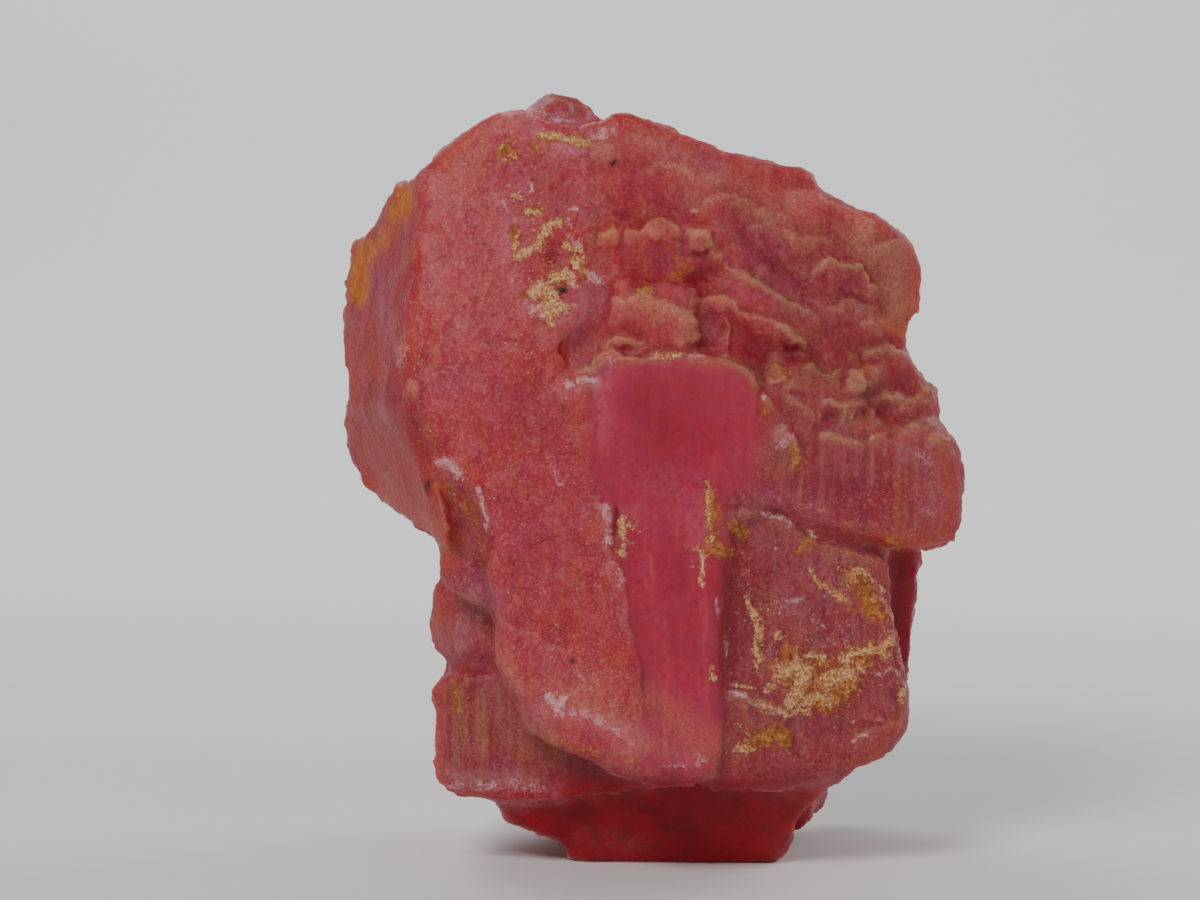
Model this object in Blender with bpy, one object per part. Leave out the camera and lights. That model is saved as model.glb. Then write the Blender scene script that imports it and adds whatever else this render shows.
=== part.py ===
"""A thumbnail specimen of rhodochrosite: one cluster of crystals grown together.

The stone is about 26 mm tall. It stands on a broken cleavage face at z = 0, with its best side
towards -Y, +X to the right and +Z up. It is modelled in millimetres and scaled to metres at the end.

Crystal plates and rhombohedral crystals are laid over each other and fused into one skin. Growth ledges,
knobs and hollows are then raised on that skin, and it is thinned to the facets that hold its shape.
"""

import bmesh
import bpy
import numpy as np
from mathutils import Matrix, Vector

NAME = "rhodochrosite_crystal"
METRES_PER_MM = 0.001

# Driving dimensions, in millimetres.
FUSE_SIZE = 0.22  # finest thickness kept where the crystals are fused
SKIN_SIZE = 0.15  # finest detail kept on the carved skin
BASE_Z = 0.0  # the cleavage face that the stone stands on
LEVEL_Z = 13.0  # height at which the depth of a plate's face is given
CHIP_SIZE = 1.5  # spacing of the small chips on the broken sides
CHIP_DEPTH = 0.14
FACETS = 9500  # triangles kept on the finished stone
LIP = 0.14  # width of the sharp edge of a growth ledge
SLANT = 0.14  # sideways lean of the cleavage steps on the broken sides, per unit of height

ROSE = (0.62, 0.10, 0.13, 1.0)
ROUGHNESS = 0.42

# Directions of the crystals' edges. All of them grew parallel to each other.
EDGES = np.array([[1.0, 0.10, -0.24], [0.22, 1.0, 0.12], [0.06, 0.10, 1.0]])

# Crystal plates. An outline runs round the plate as (x, z). Its flat face has the depth
# y = face + turn * x + lean * (z - LEVEL_Z). root is the depth where the plate ends inside the cluster, and
# taper its size there.
PLATES = {
    "left_face_upper": dict(
        outline=[
            (-7.9, 22.6), (-7.2, 23.8), (-6.3, 24.6), (-5.3, 25.2), (-4.4, 25.3), (-3.3, 24.8), (-2.0, 24.5),
            (-1.1, 24.1), (-1.1, 21.6), (-1.8, 19.4), (-2.3, 17.6), (-2.5, 16.8), (-5.3, 16.9), (-8.1, 16.6),
            (-8.3, 17.8), (-8.0, 19.9),
        ],
        face=-7.25, turn=-0.06, lean=0.22, root=1.0, taper=0.9, bevel=0.3,
    ),
    "left_face_lower": dict(
        outline=[
            (-8.1, 17.1), (-5.3, 17.4), (-2.4, 17.3), (-1.6, 16.2), (-1.3, 14.8), (-1.6, 13.1), (-1.0, 11.6),
            (-0.9, 10.1), (-0.4, 7.6), (0.0, 5.6), (0.3, 3.2), (-0.9, 3.4), (-3.1, 4.2), (-4.2, 4.8),
            (-4.6, 5.9), (-5.1, 7.1), (-5.1, 8.6), (-5.6, 10.0), (-5.4, 11.2), (-6.0, 12.3), (-6.9, 13.5),
            (-7.8, 15.2),
        ],
        face=-6.60, turn=-0.09, lean=0.04, root=-1.5, taper=0.9, bevel=0.3,
    ),
    "column": dict(
        outline=[
            (-2.1, 14.5), (-1.8, 16.1), (-1.2, 16.8), (-0.2, 17.1), (1.6, 17.2), (2.8, 16.8), (3.5, 16.1),
            (3.8, 14.6), (3.4, 12.9), (2.35, 12.4), (2.2, 10.1), (2.2, 3.9), (2.0, 3.2), (0.3, 2.9),
            (-0.7, 3.2), (-1.7, 3.6), (-1.4, 5.5), (-1.1, 8.8), (-1.7, 12.1),
        ],
        face=-6.30, turn=0.02, lean=0.03, root=-2.0, taper=0.95, bevel=0.14,
    ),
    "shoulder": dict(
        outline=[
            (2.6, 11.6), (2.6, 16.0), (4.2, 16.4), (6.4, 16.2), (7.6, 14.6), (7.2, 11.2), (5.4, 11.5),
            (3.9, 12.3),
        ],
        face=-6.55, turn=0.13, lean=0.06, root=-1.0, taper=0.95, bevel=0.3,
    ),
    "stained_face": dict(
        outline=[
            (1.6, 12.9), (3.6, 12.6), (5.9, 11.4), (7.7, 10.8), (7.9, 8.1), (8.3, 7.0), (8.55, 5.6),
            (8.45, 4.5), (7.8, 3.9), (6.6, 3.3), (5.6, 2.9), (3.6, 2.6), (1.6, 2.6),
        ],
        face=-6.10, turn=0.15, lean=0.02, root=-1.0, taper=0.9, bevel=0.5,
    ),
    "upper_slope": dict(
        outline=[
            (-2.6, 23.9), (-2.3, 24.7), (-1.1, 25.0), (0.3, 24.6), (1.9, 24.0), (3.1, 23.6), (4.9, 23.1),
            (5.6, 22.5), (6.8, 21.9), (7.7, 21.6), (8.6, 20.9), (9.0, 20.1), (8.95, 18.4), (8.4, 17.8),
            (8.6, 16.9), (9.2, 16.1), (9.5, 15.1), (9.5, 13.1), (8.9, 11.2), (5.9, 11.1), (3.6, 12.2),
            (-0.5, 14.1), (-2.7, 16.4),
        ],
        face=-6.75, turn=0.22, lean=0.22, root=1.6, taper=0.93, bevel=0.3,
    ),
    "right_block": dict(
        outline=[
            (4.9, 11.9), (4.9, 13.4), (5.9, 14.4), (7.6, 14.7), (8.9, 14.9), (9.85, 14.5), (10.1, 13.2),
            (10.1, 11.7), (9.75, 10.95), (8.9, 10.8), (7.6, 10.9), (6.3, 11.2),
        ],
        face=-6.90, turn=0.16, lean=0.07, root=0.8, taper=0.92, bevel=0.35,
    ),
    "flank_upper": dict(
        outline=[
            (-7.7, 23.1), (-8.5, 22.6), (-9.0, 22.0), (-9.3, 21.4), (-9.9, 20.9), (-10.5, 20.2),
            (-10.5, 18.6), (-10.6, 17.9), (-10.5, 16.2), (-10.2, 14.9), (-7.9, 15.1), (-8.1, 17.2),
            (-7.8, 20.0),
        ],
        face=-25.1, turn=-2.22, lean=0.38, root=3.2, taper=0.8, bevel=0.2,
    ),
    "flank_lower": dict(
        outline=[
            (-8.1, 15.4), (-10.5, 15.5), (-10.6, 14.4), (-10.3, 13.2), (-9.8, 12.4), (-8.8, 11.7),
            (-7.7, 11.1), (-6.6, 10.7), (-6.5, 11.8), (-7.2, 13.2),
        ],
        face=-20.6, turn=-2.0, lean=-0.60, root=2.8, taper=0.9, bevel=0.15,
    ),
    "left_neck": dict(
        outline=[
            (-7.4, 12.4), (-7.25, 11.6), (-7.1, 9.4), (-5.4, 8.6), (-4.3, 8.9), (-4.3, 13.4), (-7.0, 13.6),
        ],
        face=-8.3, turn=-0.45, lean=-0.12, root=1.5, taper=0.85, bevel=0.3,
    ),
    "lower_left_knob": dict(
        outline=[
            (-6.8, 9.8), (-7.3, 9.1), (-7.4, 8.1), (-7.2, 7.2), (-6.7, 6.5), (-5.1, 6.5), (-4.0, 8.1),
            (-4.6, 9.8), (-6.0, 10.5),
        ],
        face=-5.9, turn=-0.5, lean=0.12, root=1.5, taper=0.85, bevel=0.7,
    ),
    "lower_left_block": dict(
        outline=[
            (-6.7, 6.5), (-7.3, 5.9), (-7.45, 4.8), (-7.5, 3.3), (-7.1, 2.6), (-6.1, 2.2), (-3.6, 2.2),
            (-1.4, 2.6), (0.4, 2.9), (0.4, 5.0), (-3.7, 6.8),
        ],
        face=-5.7, turn=-0.25, lean=-0.02, root=2.0, taper=0.88, bevel=0.15,
    ),
    "underside": dict(
        outline=[
            (-5.8, 2.5), (-4.9, 1.3), (-3.4, 0.6), (-2.2, -0.6), (3.8, -0.6), (4.5, 0.5), (5.0, 1.6),
            (5.5, 2.4), (6.4, 3.1), (7.3, 4.2), (0.6, 3.6),
        ],
        face=-9.7, turn=-0.05, lean=-0.52, root=3.4, taper=0.86, bevel=0.3,
    ),
    "back_right_plate": dict(
        outline=[
            (5.5, 9.5), (6.3, 11.5), (7.6, 12.2), (8.9, 11.7), (8.95, 9.6), (8.95, 8.1), (8.8, 6.2),
            (8.3, 5.0), (6.9, 4.1),
        ],
        face=-2.2, turn=0.1, lean=0.0, root=4.6, taper=0.85, bevel=0.3,
    ),
    "top_lobe": dict(
        outline=[
            (-4.8, 24.7), (-4.3, 25.3), (-3.7, 25.7), (-3.1, 25.8), (-2.5, 25.6), (-1.9, 25.1),
            (-1.8, 23.2), (-4.4, 23.2),
        ],
        face=-8.4, turn=0.0, lean=0.5, root=1.6, taper=0.7, bevel=0.5,
    ),
    "heart": dict(
        outline=[
            (-8.6, 19.6), (-7.2, 22.2), (-4.4, 23.8), (0.0, 23.3), (4.6, 22.0), (7.8, 19.6), (8.2, 16.0),
            (8.6, 13.4), (8.2, 10.8), (7.2, 5.6), (4.4, 2.8), (-3.4, 2.4), (-5.6, 4.2), (-5.8, 9.6),
            (-8.4, 13.2),
        ],
        face=-2.4, turn=0.0, lean=0.12, root=3.8, taper=0.86, bevel=0.6,
    ),
}

# Rhombohedral crystals: centre (x, y, z) and length along each of EDGES.
RHOMBS = [
    ((0.1, -5.2, 18.6), (2.5, 2.6, 1.9)),
    ((-1.0, -5.3, 17.3), (1.6, 2.2, 0.9)),
    ((7.35, -1.2, 19.1), (2.0, 4.4, 2.8)),
    ((5.0, 0.2, 20.1), (4.2, 5.0, 3.4)),
    ((1.0, 0.6, 21.8), (5.2, 4.6, 3.4)),
    ((-4.2, 0.6, 21.9), (5.2, 4.4, 3.2)),
    ((-7.2, 1.0, 20.0), (3.4, 4.0, 3.6)),
    ((-8.2, 1.4, 16.6), (3.0, 4.6, 4.4)),
    ((-2.8, 4.0, 18.4), (7.4, 5.0, 6.4)),
    ((3.6, 3.6, 17.6), (7.0, 5.4, 5.8)),
    ((-5.6, 3.0, 13.8), (5.0, 5.2, 5.4)),
    ((0.6, 5.0, 13.6), (6.0, 5.0, 5.6)),
    ((6.0, 2.6, 13.6), (5.6, 6.0, 5.4)),
    ((8.2, 0.6, 14.0), (2.8, 4.4, 3.8)),
    ((-3.4, 3.6, 8.6), (5.8, 5.6, 6.6)),
    ((3.6, 4.2, 9.4), (6.6, 5.4, 5.6)),
    ((6.4, 2.2, 7.6), (3.8, 5.0, 4.8)),
    ((-3.8, 2.0, 4.4), (5.0, 6.4, 5.0)),
    ((3.0, 2.6, 4.2), (6.0, 6.2, 5.0)),
    ((0.2, 3.4, 6.6), (4.4, 5.4, 5.4)),
    ((0.6, 1.4, 1.9), (5.4, 6.6, 5.4)),
    ((-0.9, 5.2, 15.4), (3.4, 4.2, 9.4)),
    ((1.4, 5.3, 13.9), (1.9, 4.6, 9.8)),
    ((3.5, 5.0, 13.0), (2.9, 4.8, 10.2)),
    ((-4.4, 4.4, 14.8), (3.6, 4.4, 8.6)),
    ((-6.4, 3.2, 16.6), (1.8, 4.8, 7.2)),
    ((6.1, 3.6, 11.8), (2.6, 5.2, 7.8)),
    ((-2.8, 4.9, 8.6), (3.2, 4.4, 8.4)),
    ((-0.4, 5.2, 7.0), (1.8, 4.0, 5.0)),
    ((1.5, 4.6, 6.2), (2.4, 5.0, 7.0)),
    ((4.6, 3.8, 6.0), (2.4, 4.6, 5.6)),
]

# Growth ledges on the near side. The line runs from left to right as (x, z). Below it the stone stands out
# by `out`, and falls back to the face after `reach`.
LEDGES = [
    dict(line=[(-2.0, 21.0), (-1.5, 21.4), (0.2, 21.6), (2.0, 21.2), (2.4, 20.6), (3.4, 19.9), (4.5, 19.4),
               (5.6, 18.8), (7.6, 18.2)], out=0.50, reach=2.2),
    dict(line=[(-2.0, 16.5), (-1.2, 17.0), (0.1, 17.4), (1.6, 17.4), (2.9, 17.0), (3.7, 16.2)],
         out=0.40, reach=2.6),
    dict(line=[(5.4, 20.2), (5.9, 20.5), (6.9, 20.4), (7.3, 19.7)], out=0.30, reach=1.3),
    dict(line=[(1.3, 19.1), (2.8, 19.1), (3.2, 18.7), (4.1, 18.5), (4.9, 18.1), (5.3, 17.5)],
         out=0.45, reach=1.6),
    dict(line=[(5.4, 19.0), (6.6, 18.6), (7.6, 18.3), (8.6, 18.4)], out=0.30, reach=1.2),
    dict(line=[(3.4, 16.4), (4.5, 17.0), (5.4, 16.8), (6.8, 16.7), (8.0, 17.2), (8.6, 17.5), (9.2, 16.6)],
         out=0.55, reach=2.2),
    dict(line=[(5.4, 15.7), (6.7, 15.9), (7.3, 15.7), (8.5, 16.0), (9.3, 15.6)], out=0.35, reach=1.0),
    dict(line=[(5.2, 14.4), (6.0, 14.8), (7.2, 14.9), (8.6, 15.0), (9.8, 14.7)], out=0.35, reach=1.8),
    dict(line=[(3.6, 14.6), (4.2, 15.0), (4.9, 14.4)], out=0.25, reach=1.0),
]

# Knobs and hollows on the near side: (x, z), radius, and how far out each stands (negative is a hollow).
KNOBS = [
    ((4.15, 16.5), 0.55, 0.50),
    ((6.8, 16.4), 0.50, 0.45),
    ((-1.5, 21.2), 0.55, 0.30),
    ((0.1, 21.5), 0.60, 0.40),
    ((1.6, 21.2), 0.60, 0.35),
    ((4.5, 14.5), 0.75, 0.30),
    ((-7.9, 15.9), 0.45, 0.40),
    ((5.9, 15.2), 0.35, -0.22),
    ((7.2, 15.2), 0.35, -0.22),
    ((1.4, 19.8), 0.60, -0.28),
    ((-3.2, 20.3), 0.60, -0.18),
    ((-2.5, 17.3), 1.00, -0.35),
    ((2.4, 17.7), 0.90, -0.24),
    ((4.9, 17.4), 0.70, -0.20),
    ((-1.2, 11.6), 0.35, -0.25),
]


def smooth(t):
    """0 below t = 0, 1 above t = 1, and an easy curve between."""
    t = np.clip(t, 0.0, 1.0)
    return t * t * (3.0 - 2.0 * t)


def lattice(cells, seed):
    """A fixed pseudo-random number from 0 to 1 for each whole-number point."""
    n = (cells[:, 0] * 73856093) ^ (cells[:, 1] * 19349663) ^ (cells[:, 2] * 83492791) ^ (seed * 2654435761)
    n = (n ^ (n >> 13)) * 1274126177
    n = n ^ (n >> 16)
    return (n & 0xFFFFFF) / float(0xFFFFFF)


def noise(points, size, seed):
    """Smooth noise from -1 to 1, whose bumps are about `size` across."""
    scaled = points / size
    cell = np.floor(scaled).astype(np.int64)
    part = smooth(scaled - cell)
    total = np.zeros(len(points))
    for corner in range(8):
        step = np.array([corner & 1, corner >> 1 & 1, corner >> 2 & 1])
        weight = np.prod(np.where(step == 1, part, 1.0 - part), axis=1)
        total += weight * lattice(cell + step, seed)
    return total * 2.0 - 1.0


def blocks(points, size, seed):
    """Flat-faced blocks from -1 to 1, about `size` across and parallel to EDGES, each with a slight tilt."""
    scaled = points @ np.linalg.inv(EDGES) / size
    cell = np.floor(scaled).astype(np.int64)
    nearest = np.full(len(points), np.inf)
    height = np.zeros(len(points))
    for corner in range(27):
        near = cell + np.array([corner % 3 - 1, corner // 3 % 3 - 1, corner // 9 - 1])
        jitter = np.stack([lattice(near, seed + axis) for axis in range(3)], axis=1)
        apart = scaled - near - 0.15 - 0.7 * jitter
        away = np.abs(apart).max(axis=1)
        here = away < nearest
        tilt = (apart * (np.roll(jitter, 1, axis=1) - 0.5)).sum(axis=1)
        height[here] = (1.6 * lattice(near, seed + 3) - 0.8 + tilt)[here]
        nearest[here] = away[here]
    return height


def add_plate(mesh, outline, face, turn, lean, root, taper, bevel):
    """One crystal plate: its outline at the face's depth, narrowing to its root."""
    near = [mesh.verts.new((x, face + turn * x + lean * (z - LEVEL_Z), z)) for x, z in outline]
    low, high = np.min(outline, axis=0), np.max(outline, axis=0)
    middle = (low + high) / 2
    inner = middle + (np.array(outline) - middle) * taper
    far = [mesh.verts.new((x, root, z)) for x, z in inner]
    faces = [mesh.faces.new(near), mesh.faces.new(far)]
    count = len(outline)
    for i in range(count):
        j = (i + 1) % count
        faces.append(mesh.faces.new((near[i], near[j], far[j], far[i])))
    bmesh.ops.recalc_face_normals(mesh, faces=faces)
    rim = [mesh.edges.get((near[i], near[(i + 1) % count])) for i in range(count)]
    bmesh.ops.bevel(mesh, geom=rim, offset=bevel, segments=1, affect="EDGES", clamp_overlap=True)


def add_rhomb(mesh, centre, lengths):
    """One rhombohedral crystal, parallel to EDGES."""
    made = bmesh.ops.create_cube(mesh, size=1.0)["verts"]
    for vert in made:
        vert.co = Vector(np.array(centre) + np.array(vert.co) * lengths @ EDGES)


def fused(obj, size):
    """Fuses everything in the object into one closed skin, with details down to `size`."""
    remesh = obj.modifiers.new("fuse", "REMESH")
    remesh.mode = "VOXEL"
    remesh.voxel_size = size
    apply_modifiers(obj)


def thinned(obj, triangles):
    """Merges the skin's faces wherever they are nearly flat, down to that many triangles."""
    obj.data.calc_loop_triangles()
    thin = obj.modifiers.new("thin", "DECIMATE")
    thin.ratio = triangles / len(obj.data.loop_triangles)
    apply_modifiers(obj)


def apply_modifiers(obj):
    graph = bpy.context.evaluated_depsgraph_get()
    mesh = bpy.data.meshes.new_from_object(obj.evaluated_get(graph))
    obj.modifiers.clear()
    old = obj.data
    obj.data = mesh
    bpy.data.meshes.remove(old)


def points_and_normals(mesh):
    points = np.empty(len(mesh.vertices) * 3)
    normals = np.empty(len(mesh.vertices) * 3)
    mesh.vertices.foreach_get("co", points)
    mesh.vertex_normals.foreach_get("vector", normals)
    return points.reshape(-1, 3), normals.reshape(-1, 3)


def ledge_height(x, z, line, out, reach):
    """How far a growth ledge stands out at each (x, z)."""
    xs, zs = np.array(line).T
    below = np.interp(x, xs, zs) - z
    ends = smooth((x - xs[0]) / 0.4) * smooth((xs[-1] - x) / 0.4)
    return out * ends * smooth(below / LIP) * (1.0 - smooth(below / reach))


def knob_height(x, z, centre, radius, out):
    """A rounded knob, or a hollow where `out` is negative."""
    away = np.hypot(x - centre[0], z - centre[1]) / radius
    return out * np.sqrt(np.clip(1.0 - away**2, 0.0, 1.0))


def carve(mesh):
    """Raises ledges, knobs and growth steps on the fused skin."""
    points, normals = points_and_normals(mesh)
    warp = np.stack([noise(points, 1.6, seed=21 + axis) for axis in range(3)], axis=1)
    wobble = points + 0.30 * warp
    x, y, z = wobble.T
    toward = np.clip(-normals[:, 1] * 1.6, 0.0, 1.0)
    relief = np.zeros(len(points))
    for ledge in LEDGES:
        relief += ledge_height(x, z, **ledge)
    for centre, radius, out in KNOBS:
        relief += knob_height(x, z, centre, radius, out)
    terraces = smooth((x - 2.0) / 1.5) * smooth((z + 0.24 * x - 15.4) / 0.8)
    relief += terraces * 0.18 * blocks(wobble, np.array([1.0, 30.0, 0.8]), seed=31)
    ridge = smooth((x + 1.0) / 1.5) * smooth((z + 0.35 * x - 21.6) / 0.8)
    relief += ridge * 0.22 * blocks(wobble, np.array([1.6, 30.0, 1.3]), seed=37)
    points[:, 1] -= toward * relief

    rough = 1.0 - smooth(toward * 1.4)
    slanted = wobble + np.outer(z * SLANT, EDGES[0])
    steps = 0.22 * blocks(slanted, np.array([2.0, 2.4, 4.4]), seed=41) - 0.10
    steps += 0.12 * blocks(slanted, np.array([1.1, 1.4, 2.1]), seed=47)
    steps += CHIP_DEPTH * noise(points, CHIP_SIZE, seed=53)
    lumps = 0.10 * noise(points, 1.9, seed=59) + 0.07 * noise(points, 0.9, seed=61)
    points += normals * (rough * steps + (1.0 - rough) * lumps)[:, None]
    mesh.vertices.foreach_set("co", points.ravel())
    mesh.update()


def cut_base(obj):
    """Cuts the foot off on the flat cleavage face that the stone stands on."""
    mesh = bmesh.new()
    mesh.from_mesh(obj.data)
    everything = mesh.verts[:] + mesh.edges[:] + mesh.faces[:]
    cut = bmesh.ops.bisect_plane(
        mesh, geom=everything, plane_co=(0, 0, BASE_Z), plane_no=(0, 0, 1), clear_inner=True, dist=1e-4
    )
    rim = [item for item in cut["geom_cut"] if isinstance(item, bmesh.types.BMEdge)]
    bmesh.ops.holes_fill(mesh, edges=rim, sides=0)
    bmesh.ops.triangulate(mesh, faces=mesh.faces[:])
    bmesh.ops.recalc_face_normals(mesh, faces=mesh.faces[:])
    drop_crumbs(mesh)
    mesh.to_mesh(obj.data)
    mesh.free()


def drop_crumbs(mesh):
    """Removes crumbs that the cut parted from the stone, so that one body stays."""
    loose = set(mesh.verts)
    bodies = []
    while loose:
        body = {loose.pop()}
        edge = list(body)
        while edge:
            near = {link.other_vert(vert) for vert in edge for link in vert.link_edges} - body
            body |= near
            edge = list(near)
        loose -= body
        bodies.append(body)
    for crumb in sorted(bodies, key=len)[:-1]:
        bmesh.ops.delete(mesh, geom=list(crumb), context="VERTS")


def centre_and_scale(obj):
    """Puts the middle of the stone's box over the origin, and turns millimetres into metres."""
    points, _ = points_and_normals(obj.data)
    middle = (points.min(axis=0) + points.max(axis=0)) / 2
    obj.data.transform(Matrix.Translation((-middle[0], -middle[1], -BASE_Z)))
    obj.data.transform(Matrix.Scale(METRES_PER_MM, 4))


def rose_material():
    material = bpy.data.materials.new("rhodochrosite")
    material.use_nodes = True
    shader = material.node_tree.nodes["Principled BSDF"]
    shader.inputs["Base Color"].default_value = ROSE
    shader.inputs["Roughness"].default_value = ROUGHNESS
    shader.inputs["Metallic"].default_value = 0.0
    return material


def build():
    for obj in list(bpy.data.objects):
        bpy.data.objects.remove(obj)
    shapes = bmesh.new()
    for plate in PLATES.values():
        add_plate(shapes, **plate)
    for centre, lengths in RHOMBS:
        add_rhomb(shapes, centre, lengths)
    data = bpy.data.meshes.new(NAME)
    shapes.to_mesh(data)
    shapes.free()
    stone = bpy.data.objects.new(NAME, data)
    bpy.context.scene.collection.objects.link(stone)
    fused(stone, FUSE_SIZE)
    carve(stone.data)
    fused(stone, SKIN_SIZE)
    thinned(stone, FACETS)
    cut_base(stone)
    centre_and_scale(stone)
    stone.data.materials.clear()
    stone.data.materials.append(rose_material())
    stone.data.shade_smooth()
    stone.data.set_sharp_from_angle(angle=0.6)


build()
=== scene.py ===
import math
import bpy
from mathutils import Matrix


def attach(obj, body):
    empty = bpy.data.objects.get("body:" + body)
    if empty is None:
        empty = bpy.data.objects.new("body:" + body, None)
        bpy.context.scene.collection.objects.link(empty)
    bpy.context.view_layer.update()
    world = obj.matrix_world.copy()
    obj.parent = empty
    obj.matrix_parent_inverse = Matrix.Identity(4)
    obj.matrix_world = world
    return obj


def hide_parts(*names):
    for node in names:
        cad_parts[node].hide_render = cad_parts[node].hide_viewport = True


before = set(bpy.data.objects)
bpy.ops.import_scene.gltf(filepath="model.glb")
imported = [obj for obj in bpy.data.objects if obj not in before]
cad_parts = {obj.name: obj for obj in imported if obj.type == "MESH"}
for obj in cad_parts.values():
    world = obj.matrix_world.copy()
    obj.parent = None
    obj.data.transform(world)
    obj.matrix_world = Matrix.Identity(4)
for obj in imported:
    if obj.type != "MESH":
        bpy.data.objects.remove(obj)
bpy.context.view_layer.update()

# Looks of the rhodochrosite specimen. The CAD stone is remeshed finely, its surface is carved with growth
# ledges, grain, upright lines and crusts, and the marks for the stone's one material are kept on its points.

from types import SimpleNamespace

import bpy
import numpy as np
from mathutils import Matrix, Vector

NODE = "rhodochrosite_crystal"
MM = 0.001  # metres in a millimetre
SKIN_SIZE = 0.085  # grid of the fine skin, in mm
MOST_TRIANGLES = 192000
LEDGE_RISE = 0.5  # share of each ledge's height that is raised here, over the CAD stone's own ledges
CREST = 2.2  # width of a ledge's crest, in units of the front view
EVEN_STEPS = 60  # smoothing steps of the smooth faces
CORNER_STEPS = 320  # smoothing steps of the flank's rounded corner

# Places on the near side are given in the front view: 1200 by 900 units, 30 to a millimetre, v downwards. The
# eye looks along +Y from a little above.
ELEVATION = math.radians(4.0)
LENS = 120.0
SENSOR = 36.0
VIEW_WIDTH, VIEW_HEIGHT = 1200.0, 900.0
LOOK_AT = np.array([-1.60, -3.0, 13.8])  # in mm
DISTANCE = 133.3  # in mm
BACK = np.array([0.0, -math.cos(ELEVATION), math.sin(ELEVATION)])
UP = np.array([0.0, math.sin(ELEVATION), math.cos(ELEVATION)])
EYE = LOOK_AT + BACK * DISTANCE

# The floor behind the stone, in metres.
FLOOR_REACH = 0.9
FLOOR_BEND = 0.15
FLOOR_RADIUS = 0.45
WALL_HEIGHT = 0.8

# Directions of the crystals' edges.
EDGES = np.array([[1.0, 0.10, -0.24], [0.22, 1.0, 0.12], [0.06, 0.10, 1.0]])

# ----------------------------------------------------------
# Regions of the near side, in the front view.
COLUMN = [(604, 372), (640, 358), (700, 360), (735, 368), (757, 392), (762, 440), (752, 478), (722, 492),
          (719, 755), (700, 772), (645, 768), (642, 700), (634, 640), (624, 590), (620, 545), (604, 500),
          (592, 450), (590, 400)]
UPPER = [(590, 120), (700, 142), (850, 200), (925, 250), (925, 330), (940, 385), (965, 445), (960, 470),
         (800, 500), (765, 470), (762, 400), (740, 365), (600, 372), (570, 340), (596, 240)]
RIGHT_BLOCK = [(800, 440), (860, 432), (955, 436), (966, 480), (962, 545), (880, 545), (820, 520), (780, 490)]
STAINED = [(722, 492), (762, 498), (830, 538), (885, 550), (890, 620), (908, 690), (900, 745), (800, 790),
           (722, 760)]
LOWER_BLOCK = [(430, 665), (520, 690), (560, 745), (640, 775), (600, 797), (440, 795)]
UNDERSIDE = [(470, 800), (560, 778), (660, 784), (720, 780), (822, 792), (820, 880), (510, 880)]
FLANK = [(440, 150), (444, 200), (428, 300), (414, 380), (424, 440), (446, 480), (440, 520), (330, 500),
         (320, 180)]
TOP_SLOPE = [(590, 100), (760, 130), (900, 210), (880, 240), (800, 222), (740, 212), (730, 260), (770, 310),
             (770, 350), (740, 366), (590, 366)]
BACK_PLATE = [(889, 548), (925, 548), (925, 700), (906, 700), (895, 600)]
LEFT_FACE = [(437, 158), (512, 105), (590, 115), (594, 240), (565, 340), (590, 400), (592, 450), (604, 500),
             (620, 545), (624, 590), (634, 640), (642, 700), (645, 775), (560, 742), (520, 690), (498, 655),
             (500, 610), (490, 560), (480, 490), (445, 470), (415, 400), (405, 350), (425, 180)]

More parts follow.
